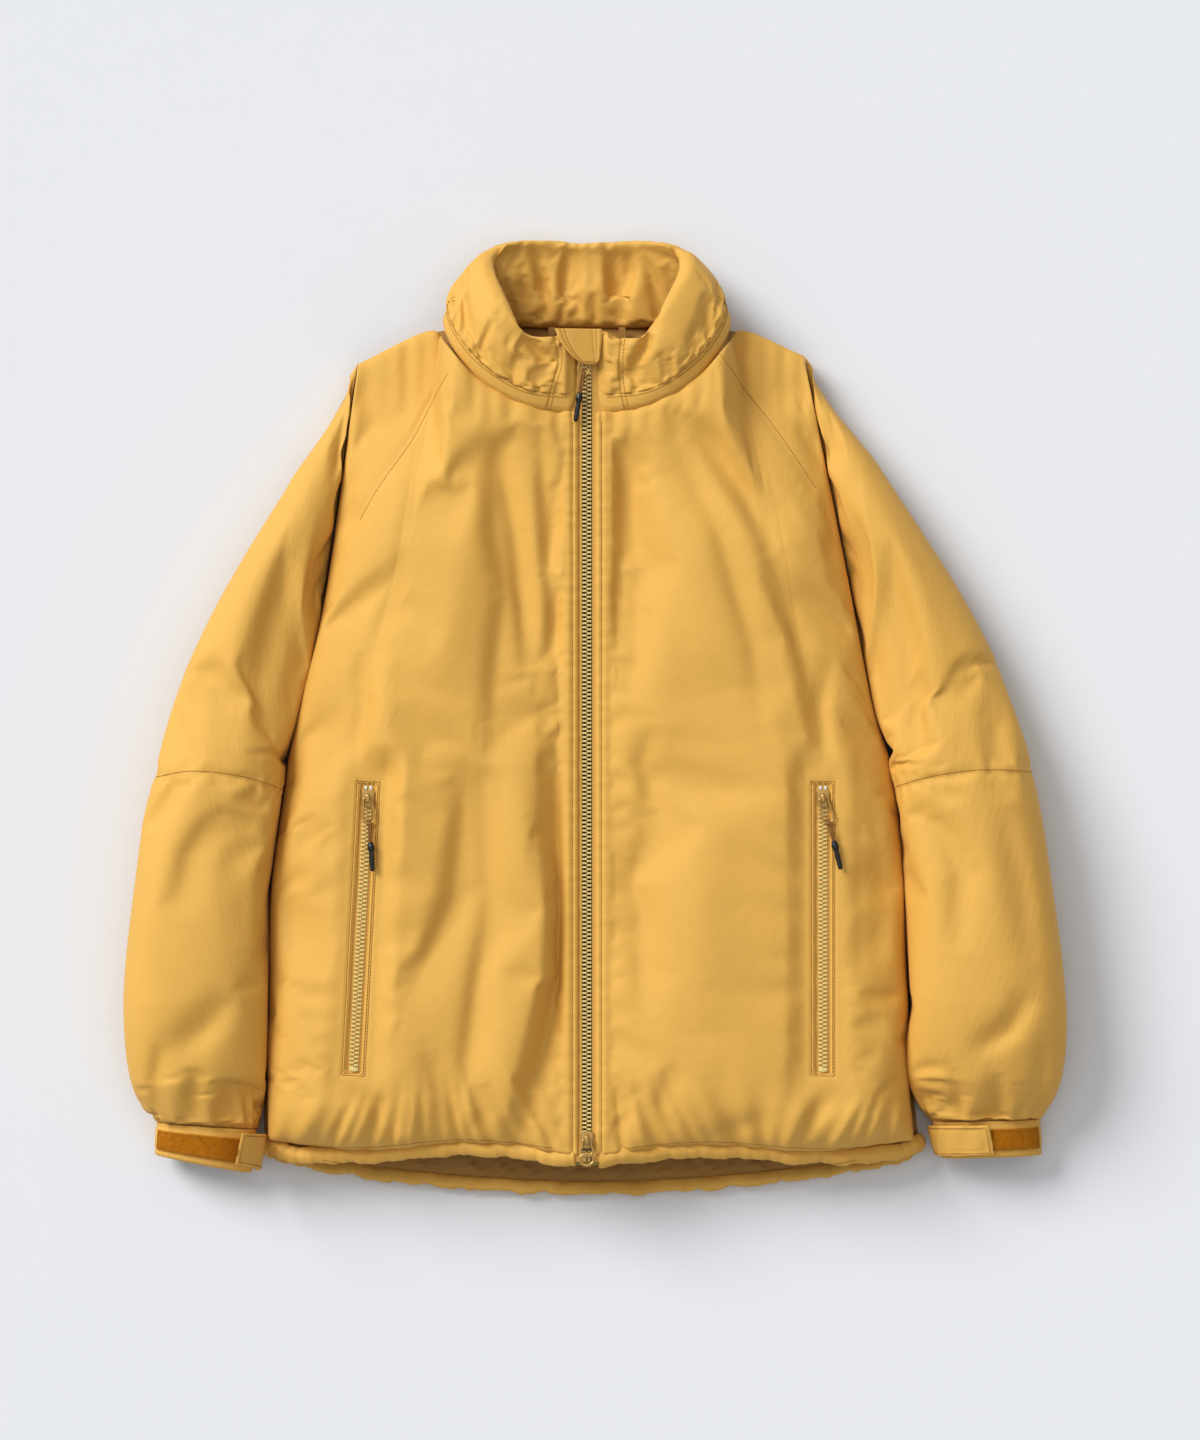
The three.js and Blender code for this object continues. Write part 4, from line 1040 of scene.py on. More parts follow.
def raised_collar(shares):
    """The rings of the collar around its section, one for each share of its length."""
    height, depth = SECTION
    u, v = np.meshgrid(shares, height, indexing="ij")
    d = np.broadcast_to(depth, u.shape)
    points = collar_point(u, v, d * COLLAR_THICKNESS)
    centre = points.mean(axis=1, keepdims=True)
    closing = 0.72 * roll((0.012 - np.minimum(u, 1 - u)) / 0.012)
    points = mix(points, centre, closing[..., None])
    back = np.exp(-(((u - 0.5) / 0.2) ** 2))
    pleats = ripple(u * 640, (29, 41, 19), 4) * back * smooth(d, 0.5, 1)
    out = points - centre
    out /= np.maximum(np.linalg.norm(out, axis=-1, keepdims=True), 1)
    points = points + out * (3.0 * pleats * np.sin(np.pi * np.clip(v, 0, 0.55)))[..., None]
    points[..., 2] += fold_height(COLLAR_FOLDS, points[..., 0], points[..., 1]) * smooth(out[..., 2], 0, 0.4)
    return points


def collar_seams(u, v, d, points):
    """How strongly each point belongs to a sewn line, from 0 to 1."""
    outside = 1 - smooth(d, 0.05, 0.3)
    band = channel(v - BAND_SEAM, 0.03) * outside
    facing = [channel(from_line(FACING[side], points[..., 0], points[..., 1])[0], 2.2) for side in SIDES]
    front = smooth(points[..., 2], 55, 62)
    return np.maximum(band, np.maximum(*facing) * outside * front)


# %% The collar
def make_collar():
    """The collar: its puckers are simulated around the seams, which are pressed in after."""
    height, depth = SECTION
    around = len(height)
    coarse_u = np.linspace(0, 1, 120)
    coarse = raised_collar(coarse_u)
    u, v = np.meshgrid(coarse_u, height, indexing="ij")
    d = np.broadcast_to(depth, u.shape)
    seam = collar_seams(u, v, d, coarse)
    ends = (np.minimum(u, 1 - u) < 0.012) * 1.0
    base, band = (v < 0.06) * 1.0, 0.9 * (v < BAND_SEAM) * (d < 0.3)
    held = np.maximum.reduce([base, band, ends, smooth(seam, 0.2, 0.6)])
    move = puff("collar", coarse, held, grow=0.09, pressure=2.6, cap=9, around=True, stiffness=4)
    fine_u = spaced([(0.02, 12), (0.16, 90), (0.84, 190), (0.98, 90), (1, 12)])
    wrapped = np.concatenate([move, move[:, :1]], axis=1)
    places = np.arange(around) / around
    points = raised_collar(fine_u) + refine(wrapped, fine_u, places)
    u, v = np.meshgrid(fine_u, height, indexing="ij")
    d = np.broadcast_to(depth, u.shape)
    centre = points.mean(axis=1, keepdims=True)
    inwards = centre - points
    inwards /= np.maximum(np.linalg.norm(inwards, axis=-1, keepdims=True), 1)
    points = points + inwards * (1.3 * collar_seams(u, v, d, points))[..., None]
    points[..., 2] = np.maximum(points[..., 2], 0.3)
    faces = tube_faces(len(fine_u), around)
    uv = arc_lengths(points).reshape(-1, 2)
    collar = face_out(piece_from("collar", points.reshape(-1, 3), faces, uv, [outer_cloth]))
    settle(collar, "outer_cloth", "garment", "neck_band", "collar_shell", "collar_fill", "collar_lining")
    return collar


collar = make_collar()

# %% [markdown]
# A small flap of cloth folds over the top of the zip and keeps the slider off the chin. It is cut to a
# curve and stitched twice along it. It lies from one edge of the collar, over the slider, to the other
# edge.

# %% The zip garage
GARAGE_ROWS = [  # at each height: the left and right edge, out from the zip's centre
    (309, -1, 8), (311, -6, 10), (316, -13, 11.5), (323, -19, 12), (331, -24.5, 13), (340, -28, 13),
]
GARAGE_THICKNESS = 2


def garage_point(share, climb, drop=0):
    """A point of the flap: a share across it, a climb up it and a drop below its face."""
    y, left, right = np.moveaxis(curve(GARAGE_ROWS)(climb), -1, 0)
    dx = mix(left, right, share)
    z = CHEST + mix(15.2, 6.9, smooth(dx, -36, 14)) + 0.02 * (y - 310)
    return np.stack([ZIP_X + dx, y, z - drop], -1)


def make_garage():
    """The flap, with a soft edge and a dent along each line of stitches."""
    climb, share = np.meshgrid(np.linspace(0, 1, 40), np.linspace(0, 1, 44), indexing="ij")
    edge = np.minimum.reduce([share / 0.08, (1 - share) / 0.08, climb / 0.08])
    soft = 0.5 * GARAGE_THICKNESS * roll(1 - np.clip(edge, 0, 1))
    crown = 0.9 * np.sin(np.pi * share) * climb
    dents = 0.7 * channel(edge - 1.3, 0.35) + 0.6 * channel(edge - 2.4, 0.35)
    top = garage_point(share, climb, soft - GARAGE_THICKNESS - crown + dents)
    under = garage_point(share, climb, -soft - crown)
    garage = pad("zip_garage_flap", top, under, [outer_cloth, outer_cloth])
    settle(garage, "outer_cloth", "garment", "zip_garage")
    return garage


garage = make_garage()

# %% [markdown]
# A cuff is a short padded band with a strip of loop pile on its upper side. A tab with a patch of hook tape
# is sewn at its inner edge: on the left sleeve it lies closed over the pile, and on the right one it stands
# open. Both tabs are flat patches of the cuff's own oval, lifted off it by the layers below.

# %% The finish of the pile
loop_pile = Finish("loop_pile")
pile_place = loop_pile.node("ShaderNodeTexCoord", {}, {}, "Object")
pile_tone = loop_pile.noise(pile_place, 260, 3) * 0.7 + loop_pile.noise(pile_place, 40) * 0.3
loop_pile.set(
    base_color=loop_pile.between(pile_tone, (0.34, 0.125, 0.004), (0.7, 0.29, 0.014)),
    roughness=0.95,
    sheen_weight=0.1,
    specular_ior_level=0.15,
    normal=loop_pile.bump(loop_pile.noise(pile_place, 1400, 2), 0.0006, 0.9),
)
print(loop_pile.material.name, "made")

# %% The cuffs
CUFF_END = {"right": (-388, -386, -304, -402, 38), "left": (393, -386, 306, -389, 38)}
CUFF_WALL = 3


def cuff_point(side, angle, share, lift):
    """A point over a cuff's oval, at an angle from its inner edge over its top and a share of its length."""
    start = np.array(SLEEVE[side][-1], float)
    station = mix(start, np.array(CUFF_END[side], float), np.asarray(share, float)[..., None])
    outer, inner, thick = station[..., :2], station[..., 2:4], station[..., 4]
    span = np.linalg.norm(outer - inner, axis=-1, keepdims=True)
    out = (span[..., 0] / 2 + lift) * np.cos(angle)
    plan = (outer + inner) / 2 + (inner - outer) / span * out[..., None]
    z = thick / 2 + (thick / 2 + lift) * np.sin(angle)
    return np.concatenate([plan, z[..., None]], -1)


def make_cuff(side):
    """A cuff band, gathered where its elastic is, with a plain inside."""
    turns = np.linspace(0, 2 * np.pi, 96, endpoint=False)
    share, angle = np.meshgrid(np.linspace(0, 1, 27), turns, indexing="ij")
    elastic = smooth(-np.cos(angle), 0.55, 0.85) + 0.25
    gather = ripple(angle * 40, (7, 9.5), 2) * elastic * (1 - 0.5 * channel(share - 0.5, 0.3))
    hem_line = 0.7 * channel(share - 0.82, 0.05) + 0.5 * channel(share - 0.1, 0.05)
    swell = 1.4 * np.sin(np.pi * share) ** 0.7 + 1.1 * gather - hem_line
    outer = cuff_point(side, angle, share, swell - 1.2 * roll((share - 0.93) / 0.07))
    outer[..., 2] = np.maximum(outer[..., 2], 0.2)
    inner = cuff_point(side, angle[:5], share[[0, 5, 12, 20, 26]], -CUFF_WALL)
    cuff = pipe(f"{side}_cuff_band", outer, inner, [outer_cloth, lining_cloth])
    settle(cuff, "outer_cloth", "garment", f"{side}_cuff")


for side in SIDES:
    make_cuff(side)

# %% Strips and tabs
STRIP_THICKNESS = 1.5
TAB_THICKNESS = 2
STRIP_LIFT = 1.2
HOOK_LIFT = 2.8
TAB_LIFT = 4.0
TAB_OPEN = {"right": math.radians(48), "left": 0}
STRIP_AREA = ((34, 160), (0.22, 0.8))  # degrees round the cuff, and shares of its length
TAB_AREA = ((4, 92), (0.1, 0.92))
HOOK_AREA = ((50, 86), (0.24, 0.8))


def swung(side, points):
    """Points of a tab, turned about the line that it is sewn along by as much as it stands open."""
    root = cuff_point(side, math.radians(4), 0.5, TAB_LIFT - 0.3)
    turn = TAB_OPEN[side]
    x, z = points[..., 0] - root[0], points[..., 2] - root[2]
    turned_x = x * math.cos(turn) + z * math.sin(turn)
    turned_z = z * math.cos(turn) - x * math.sin(turn)
    return np.stack([turned_x + root[0], points[..., 1], turned_z + root[2]], -1)


def cuff_patch(name, side, area, lift, thickness, material, crumple=0.0, hinged=True):
    """A soft-edged patch of cloth over an area of a cuff. A hinged one stands open as far as its tab does."""
    angles, shares = area
    up, along = np.meshgrid(np.linspace(0, 1, 30), np.linspace(0, 1, 60), indexing="ij")
    share = mix(*shares, up)
    angle = np.radians(mix(*angles, along))
    edge = np.minimum.reduce([up * 14, (1 - up) * 14, along * 24, (1 - along) * 24])
    soft = 0.5 * thickness * roll(1 - np.clip(edge, 0, 1))
    uneven = crumple * ripple(along * 40 + up * 9, (23, 11), 9)
    dent = 0.35 * channel(edge - 2.2, 0.6) if crumple else 0
    top = cuff_point(side, angle, share, lift + thickness - soft + uneven - dent)
    under = cuff_point(side, angle, share, lift + soft + uneven * 0.5)
    if hinged:
        top, under = swung(side, top), swung(side, under)
    return pad(name, top, under, [material, material])


def add_tab(side):
    """A tab, and the hooks under it."""
    tab = cuff_patch(f"{side}_tab", side, TAB_AREA, TAB_LIFT, TAB_THICKNESS, outer_cloth, 0.5)
    settle(tab, "outer_cloth", f"{side}_tab", f"{side}_cuff_tab")
    pile = loop_pile.material
    hooks = cuff_patch(f"{side}_hook_patch", side, HOOK_AREA, HOOK_LIFT, STRIP_THICKNESS, pile)
    settle(hooks, "hook_and_loop", f"{side}_tab", f"{side}_tab_hook")


def make_strip(side):
    """A strip of loop tape, sewn on the cuff."""
    name, pile = f"{side}_loop_pile_strip", loop_pile.material
    strip = cuff_patch(name, side, STRIP_AREA, STRIP_LIFT, STRIP_THICKNESS, pile, hinged=False)
    settle(strip, "hook_and_loop", "garment", f"{side}_loop_strip")
    return strip


strips = {}
for side in SIDES:
    strips[side] = make_strip(side)
    add_tab(side)

# %% [markdown]
# Zip teeth and stitches repeat hundreds of times along a line, so a Geometry Nodes tree makes them. It
# turns a path of edges into a curve, spaces points along it, puts one small piece at each point with its X
# axis along the path, and makes the copies real. Copying meshes in a loop would work too, but the spacing
# could then not be changed by one number. Each tree opens and closes in the same way, so that part is
# shared.

# %% A tree and what it grows
class Tree:
    """A Geometry Nodes tree with named inputs."""

    def __init__(self, name, output, **inputs):
        self.group = bpy.data.node_groups.new(name, "GeometryNodeTree")
        for label, kind in inputs.items():
            self.group.interface.new_socket(label, in_out="INPUT", socket_type=f"NodeSocket{kind}")
        self.group.interface.new_socket(output, in_out="OUTPUT", socket_type="NodeSocketGeometry")
        self.source = self.group.nodes.new("NodeGroupInput")

    def add(self, kind, inputs, **settings):
        """Adds a node: its settings, then a value or an output for each of its sockets."""
        made = self.group.nodes.new(kind)
        for key, value in settings.items():
            setattr(made, key, value)
        for key, value in inputs.items():
            if isinstance(value, bpy.types.NodeSocket):
                self.group.links.new(value, made.inputs[key])
            else:
                made.inputs[key].default_value = value
        return made.outputs

    def close(self, copies):
        """Makes the copies real and gives them their finish."""
        real = self.add("GeometryNodeRealizeInstances", {0: copies})
        finish = self.source.outputs["Finish"]
        painted = self.add("GeometryNodeSetMaterial", {"Geometry": real[0], "Material": finish})
        self.add("NodeGroupOutput", {0: painted[0]})

    def grow(self, name, mesh, **inputs):
        """What the tree makes of a mesh, as a plain mesh piece."""
        base = bpy.data.objects.new(f"{name}_base", mesh)
        scene.collection.objects.link(base)
        modifier = base.modifiers.new(self.group.name, "NODES")
        modifier.node_group = self.group
        for item in self.group.interface.items_tree:
            if item.name in inputs:
                modifier[item.identifier] = inputs[item.name]
        evaluated = base.evaluated_get(bpy.context.evaluated_depsgraph_get())
        made = bpy.data.objects.new(name, bpy.data.meshes.new_from_object(evaluated))
        scene.collection.objects.link(made)
        bpy.data.objects.remove(base)
        return made


# %% Rows of small pieces along a path
row_tree = Tree("row_along_path", "Row", Path="Geometry", Piece="Object", Spacing="Float", Finish="Material")
line = row_tree.add("GeometryNodeMeshToCurve", {0: row_tree.source.outputs["Path"]})
spots = row_tree.add(
    "GeometryNodeResampleCurve",
    {"Curve": line[0], "Length": row_tree.source.outputs["Spacing"]},
    mode="LENGTH",
)
tangent = row_tree.add("GeometryNodeInputTangent", {})
along = row_tree.add("FunctionNodeAlignRotationToVector", {"Vector": tangent[0]}, axis="X")
upright = row_tree.add(
    "FunctionNodeAlignRotationToVector",
    {"Rotation": along[0], "Vector": (0, 0, 1)},
    axis="Z",
    pivot_axis="X",
)
piece = row_tree.add("GeometryNodeObjectInfo", {"Object": row_tree.source.outputs["Piece"]})
copies = row_tree.add(
    "GeometryNodeInstanceOnPoints",
    {"Points": spots[0], "Instance": piece["Geometry"], "Rotation": upright[0]},
)
row_tree.close(copies[0])


def row(name, paths, piece, spacing, material):
    """One mesh of copies of a piece along each path, in millimetres."""
    points, edges = [], []
    for path in paths:
        edges += [(len(points) + k, len(points) + k + 1) for k in range(len(path) - 1)]
        points += [tuple(np.asarray(point) * MM) for point in path]
    mesh = bpy.data.meshes.new(name)
    mesh.from_pydata(points, edges, [])
    return row_tree.grow(name, mesh, Piece=piece, Spacing=spacing * MM, Finish=material)


# %% [markdown]
# The zips are moulded: each tooth has a rounded head that hooks between two teeth of the other row. The
# tooth is a low plate with a soft edge, and the two rows are half a step apart. Painted metal shows on the
# sliders and pulls: it is smooth, slightly worn on its edges, and only a little glossy.

# %% Finishes of the hard pieces
def moulded(name, low, high, roughness, metallic=0.0, coat=0.0):
    """A hard finish on object coordinates with slight wear and unevenness."""
    finish = Finish(name)
    place = finish.node("ShaderNodeTexCoord", {}, {}, "Object")
    tone = finish.noise(place, 300, 3)
    wear = finish.noise(place, 1300, 2)
    edge = finish.node("ShaderNodeNewGeometry", {}, {}, "Pointiness")
    stops = [(0.5, (0, 0, 0, 1)), (0.62, (1, 1, 1, 1))]
    rubbed = finish.node("ShaderNodeValToRGB", {"stops": stops}, {"Fac": edge})
    finish.set(
        base_color=finish.between(tone * 0.8 + rubbed * 0.3, low, high),
        roughness=roughness + wear * 0.12,
        metallic=metallic,
        coat_weight=coat,
        coat_roughness=0.25,
        specular_ior_level=0.45,
        normal=finish.bump(wear, 0.00005, 0.4),
    )
    return finish.material


tooth_plastic = moulded("tooth_plastic", (0.6, 0.47, 0.17), (0.76, 0.62, 0.27), 0.35)
painted_metal = moulded("painted_metal", (0.36, 0.21, 0.05), (0.6, 0.38, 0.12), 0.2, 0.55, 0.3)
bright_metal = moulded("bright_metal", (0.7, 0.69, 0.66), (0.9, 0.89, 0.87), 0.22, 1.0)
black_plastic = moulded("black_plastic", (0.006, 0.006, 0.007), (0.014, 0.014, 0.016), 0.32, 0.0, 0.25)
film_plastic = moulded("film_plastic", (0.3, 0.26, 0.01), (0.38, 0.34, 0.03), 0.3, 0.0, 0.4)
pull_cord = woven("pull_cord", (0.24, 0.11, 0.02), on_uv=False, thread=0.0009, weave=1.0, crease=0)
print("finishes of the teeth, sliders, pulls and film made")

# %% [markdown]
# Small hard pieces are plates and bent rods. A plate is its outline drawn as a stack of rings, smaller at
# the top and bottom, so its edges are soft without a Bevel modifier. A rod is swept along its path.

# %% Plates and rods
def closed_outline(points, count=48):
    """A smooth closed outline through a few points, as count points."""
    known = np.array([*points[-3:], *points, *points[:3]], float)
    low, high = 3 / (len(known) - 1), (len(points) + 3) / (len(known) - 1)
    return curve(known)(np.linspace(low, high, count, endpoint=False))


def inset(outline, amount):
    """An outline moved in along its own normals."""
    ahead = np.roll(outline, -1, axis=0) - np.roll(outline, 1, axis=0)
    normal = np.stack([ahead[:, 1], -ahead[:, 0]], -1)
    normal /= np.linalg.norm(normal, axis=1, keepdims=True)
    area = np.sum(outline[:, 0] * np.roll(outline[:, 1], -1) - outline[:, 1] * np.roll(outline[:, 0], -1))
    return outline - normal * amount * np.sign(area)


def plate(outline, low, high, soft=0.3):
    """The rings of a plate with soft edges, whose ends don't join."""
    levels = [(low, soft), (low + soft * 0.3, soft * 0.3), (low + soft, 0)]
    levels += [(high - soft, 0), (high - soft * 0.3, soft * 0.3), (high, soft)]
    rings = []
    for z, amount in levels:
        ring = inset(outline, amount)
        rings.append(np.column_stack([ring, np.full(len(ring), z)]))
    return np.array(rings), False


def rod(path, first, wide, high, around=14, closed=False):
    """The rings of a rod along a path, and whether its ends join."""
    return swept(path, first, wide, high, around, closed), closed


def turned(points, turn):
    """Points turned about Z, at their own heights if they have any."""
    made = np.array(points, float)
    x, y = made[..., 0].copy(), made[..., 1].copy()
    made[..., 0] = x * math.cos(turn) - y * math.sin(turn)
    made[..., 1] = x * math.sin(turn) + y * math.cos(turn)
    return made


def points_out(points, faces):
    """Whether the faces of a closed body point outwards, which its volume's sign shows."""
    volume = 0.0
    for face in faces:
        corners = points[face]
        for k in range(1, len(face) - 1):
            volume += float(np.dot(corners[0], np.cross(corners[k], corners[k + 1])))
    return volume > 0


def solid(name, parts, material, place=(0, 0, 0), turn=0.0):
    """One piece from several plates and rods, turned about Z and set in place, in millimetres."""
    points, faces = [], []
    for rings, closed in parts:
        flat = rings.reshape(-1, 3)
        own = tube_faces(len(rings), rings.shape[1], closed)
        if not points_out(flat, own):
            own = [face[::-1] for face in own]
        faces += [[index + len(points) for index in face] for face in own]
        points += list(flat)
    return piece_from(name, turned(points, turn) + place, faces, None, [material])


# %% One tooth
TOOTH_PITCH = 3.55
TOOTH_HALF_HEIGHT = 1.5
TOOTH = [  # in plan: along the row, and towards the other row
    (-1.1, -2.1), (-0.8, -0.6), (-0.85, 0.3), (-1.15, 0.95), (-0.95, 1.55), (0, 1.8),
    (0.95, 1.55), (1.15, 0.95), (0.85, 0.3), (0.8, -0.6), (1.1, -2.1),
]
tooth = solid("tooth", [plate(np.array(TOOTH), -TOOTH_HALF_HEIGHT, TOOTH_HALF_HEIGHT, 0.28)], tooth_plastic)
scene.collection.objects.unlink(tooth)
print("tooth", len(tooth.data.polygons), "faces")

# %% [markdown]
# The front zip's rows run its whole length. The left row runs up and the right row down, so that both sets
# of heads point to the middle, and one row starts half a step later. Each pocket zip adds its own tape and
# stops.

# %% Teeth of the front zip
ZIP_TOP, ZIP_BOTTOM = 330, -389
ZIP_Z = 68.4
BOX_LENGTH = 10
ROW_OFFSET = 1.75  # from the zip's centre to the middle of a row


def chain(low, high, spot, turn=0.0):
    """The two paths of a zip's rows, hanging from a spot."""
    up = [(ROW_OFFSET, low + TOOTH_PITCH / 2, 0), (ROW_OFFSET, high + TOOTH_PITCH / 2, 0)]
    down = [(-ROW_OFFSET, high, 0), (-ROW_OFFSET, low, 0)]
    return [turned(path, turn) + spot for path in (up, down)]


teeth_length = TOOTH_PITCH * int((ZIP_TOP - ZIP_BOTTOM - BOX_LENGTH) / TOOTH_PITCH)
front_paths = chain(ZIP_TOP - teeth_length, ZIP_TOP - TOOTH_PITCH / 2, (ZIP_X, 0, ZIP_Z))
front_teeth = row("front_zip_teeth", front_paths, tooth, TOOTH_PITCH, tooth_plastic)
settle(front_teeth, "tooth_plastic", "garment", "right_zip_teeth", "left_zip_teeth")

# %% The pocket zips
TAPE_HALF_WIDTH = 6.9
TEETH_BELOW_TOP = 6
TEETH_ABOVE_FOOT = 4
FOOT_STOP = 2  # from the tape's end to the middle of the stop
TOP_STOPS = [(-2.2, -2.4), (2.2, -2.4)]


def oblong(half_width, half_length):
    """A small outline with round corners."""
    corners = [(-half_width, -half_length), (half_width, -half_length)]
    return closed_outline([*corners, (half_width, half_length), (-half_width, half_length)], 24)


def tape_outline():
    """The outline of a pocket zip's tape, with 12 points along each side."""
    half, length = TAPE_HALF_WIDTH, POCKET_LENGTH
    corners = np.array([(-half, -length), (half, -length), (half, 0), (-half, 0)], float)
    shares = np.arange(12)[:, None] / 12
    return np.concatenate([mix(a, b, shares) for a, b in zip(corners, np.roll(corners, -1, axis=0))])


for side in SIDES:
    x, y, tilt = POCKETS[side]
    turn = math.radians(tilt)
    spot = np.array((x, y, POCKET_Z))
    paths = chain(TEETH_ABOVE_FOOT - POCKET_LENGTH, -TEETH_BELOW_TOP, spot, turn)
    teeth = row(f"{side}_pocket_teeth", paths, tooth, TOOTH_PITCH, tooth_plastic)
    settle(teeth, "tooth_plastic", "garment")
    tape = solid(f"{side}_pocket_tape", [plate(tape_outline(), -0.7, 0.1, 0.1)], tape_cloth, spot, turn)
    settle(tape, "zip_cloth", "garment", f"{side}_pocket_zip")
    top_parts = [plate(oblong(0.9, 1.7) + place, -1.5, 1.7, 0.35) for place in TOP_STOPS]
    top_stops = solid(f"{side}_pocket_stops", top_parts, bright_metal, spot, turn)
    settle(top_stops, "pull_metal", "garment")
    foot = plate(oblong(3.6, 1.3) + (0, FOOT_STOP - POCKET_LENGTH), -1.5, 1.6, 0.4)
    foot_stop = solid(f"{side}_pocket_foot_stop", [foot], tooth_plastic, spot, turn)
    settle(foot_stop, "tooth_plastic", "garment")

# %% [markdown]
# A slider is two shaped plates joined by a post inside the chain, with an arched bridge on top. The pull's
# ring hangs in the bridge. A loop of cord hangs in the ring, and its two ends run into a moulded black
# grip.

# %% A slider
SLIDER_OUTLINE = [
    (5.3, 3.5), (5.2, 6.2), (3.8, 7.4), (0, 7.5), (-3.8, 7.4), (-5.2, 6.2), (-5.3, 3.5),
    (-4.7, -3.5), (-4.0, -6.6), (-2.9, -7.4), (0, -7.5), (2.9, -7.4), (4.0, -6.6), (4.7, -3.5),
]
PLATE_LOW, PLATE_HIGH = 1.8, 3.0
BRIDGE = [
    (0, 4.1, 2.6), (0, 4.0, 4.6), (0, 3.4, 6.9), (0, 1.6, 7.6),
    (0, -1.6, 7.6), (0, -3.4, 6.9), (0, -4.0, 4.6), (0, -4.1, 2.6),
]


def slider_parts():
    """A slider's two plates with their side flanges, the post between them and the bridge on top."""
    outline = closed_outline(SLIDER_OUTLINE)
    flange = closed_outline([(5.2, 5), (5.2, -3), (4.4, -6.4), (4.05, -3), (4.35, 5)], 24)
    mirrored = flange * (-1, 1)
    post = closed_outline([(-0.28, 3.6), (0.28, 3.6), (0.28, -3), (-0.28, -3)], 16)
    parts = [plate(outline, PLATE_LOW, PLATE_HIGH, 0.38), plate(outline, -PLATE_HIGH, -PLATE_LOW, 0.38)]
    parts += [plate(edge, low, low + 1.4, 0.15) for edge in (flange, mirrored) for low in (0.6, -2.0)]
    parts.append(plate(post, -2, 2, 0.1))
    path = curve(BRIDGE)(np.linspace(0, 1, 30))
    parts.append(rod(path, (1, 0, 0), 1.45, 0.55, 16))
    return parts


# %% A pull
PULL_HEIGHT = 5.2
RING_LENGTH, RING_WIDTH, RING_WIRE = 24, 12, 2
BAR_HALF = 3.7
CORD_RADIUS = 0.95
CORD_REACH = 15
GRIP_RISE = 1.8
RING_FOOT = -(RING_LENGTH - RING_WIRE / 2)
GRIP_TOP = RING_FOOT - CORD_REACH


def ring_path(width, length):
    """The middle of a pull's wire: a bar at the top, widening to a round end."""
    half, radius = BAR_HALF, width / 2 - RING_WIRE / 2
    centre = -(length - width / 2 - RING_WIRE / 2)
    turn = np.linspace(np.pi, 2 * np.pi, 13)
    arc = np.column_stack([radius * np.cos(turn), centre + radius * np.sin(turn)])
    left = [(-half + 0.7, 0), (-half, -0.9), (-half - 0.1, -4)]
    right = [(half + 0.1, -4), (half, -0.9), (half - 0.7, 0)]
    outline = closed_outline([(0, 0), *left, *arc, *right], 96)
    return np.column_stack([outline, np.zeros(len(outline))])


def pull_cord_path(sign):
    """One strand of a pull's cord, from the ring's foot down into the grip."""
    points = [
        (0, RING_FOOT + 4.2, 0),
        (0.5 * sign, RING_FOOT + 1.4, 2.2 * sign),
        (sign, RING_FOOT - 4, 1.3 * sign + 0.9),
        (sign, RING_FOOT - 9, 0.3 * sign + GRIP_RISE),
        (0.75 * sign, GRIP_TOP - 1, GRIP_RISE),
    ]
    return curve(points)(np.linspace(0, 1, 26))


def grip_parts():
    """The moulded grip: a knot-like head and a thinner tail."""
    along = np.array([0, 0.3, 1.0, 2.2, 4.0, 6.0, 7.6, 9.0, 10.5, 13, 17, 21, 24.4, 25.6, 26])
    radius = np.array([1.2, 1.9, 2.3, 2.5, 3.05, 3.1, 2.6, 2.1, 2.15, 2.3, 2.2, 2.1, 1.95, 1.4, 0.5])
    steps = np.linspace(0, 1, 40)
    known = curve(np.column_stack([along, radius]))(steps)
    path = np.column_stack([0 * steps, GRIP_TOP - known[:, 0], 0 * steps + GRIP_RISE])
    return [rod(path, (1, 0, 0), known[:, 1], known[:, 1] * 0.92, 20)]


# %% Sliders and pulls in place
TOP_SLIDER = np.array((ZIP_X, 322.0, ZIP_Z))
BOTTOM_SLIDER = np.array((ZIP_X, -369.5, ZIP_Z))
POCKET_SLIDER_DROP = 11.5  # past the top stops
PULL_LEAN = {"top": math.radians(-9), "right": math.radians(7), "left": math.radians(14)}


def add_slider(name, spot, turn=0.0):
    """A slider, whose solid and body have the same name."""
    settle(solid(f"{name}_body", slider_parts(), painted_metal, spot, turn), "pull_metal", name, name)


def add_pull(name, body, spot, turn, nodes):
    """A ring, its cord and its grip, hanging from a slider."""
    hung = spot + (0, 0, PULL_HEIGHT)
    wire = [rod(ring_path(RING_WIDTH, RING_LENGTH), (0, 0, 1), 0.82, 0.98, 14, True)]
    strands = [rod(pull_cord_path(sign), (0, 0, 1), CORD_RADIUS, CORD_RADIUS, 12) for sign in (-1, 1)]
    settle(solid(f"{name}_ring", wire, painted_metal, hung, turn), "pull_metal", body, nodes[0])
    settle(solid(f"{name}_cord", strands, pull_cord, hung, turn), "cord", body, nodes[1])
    settle(solid(f"{name}_grip", grip_parts(), black_plastic, hung, turn), "cord_end", body, nodes[2])


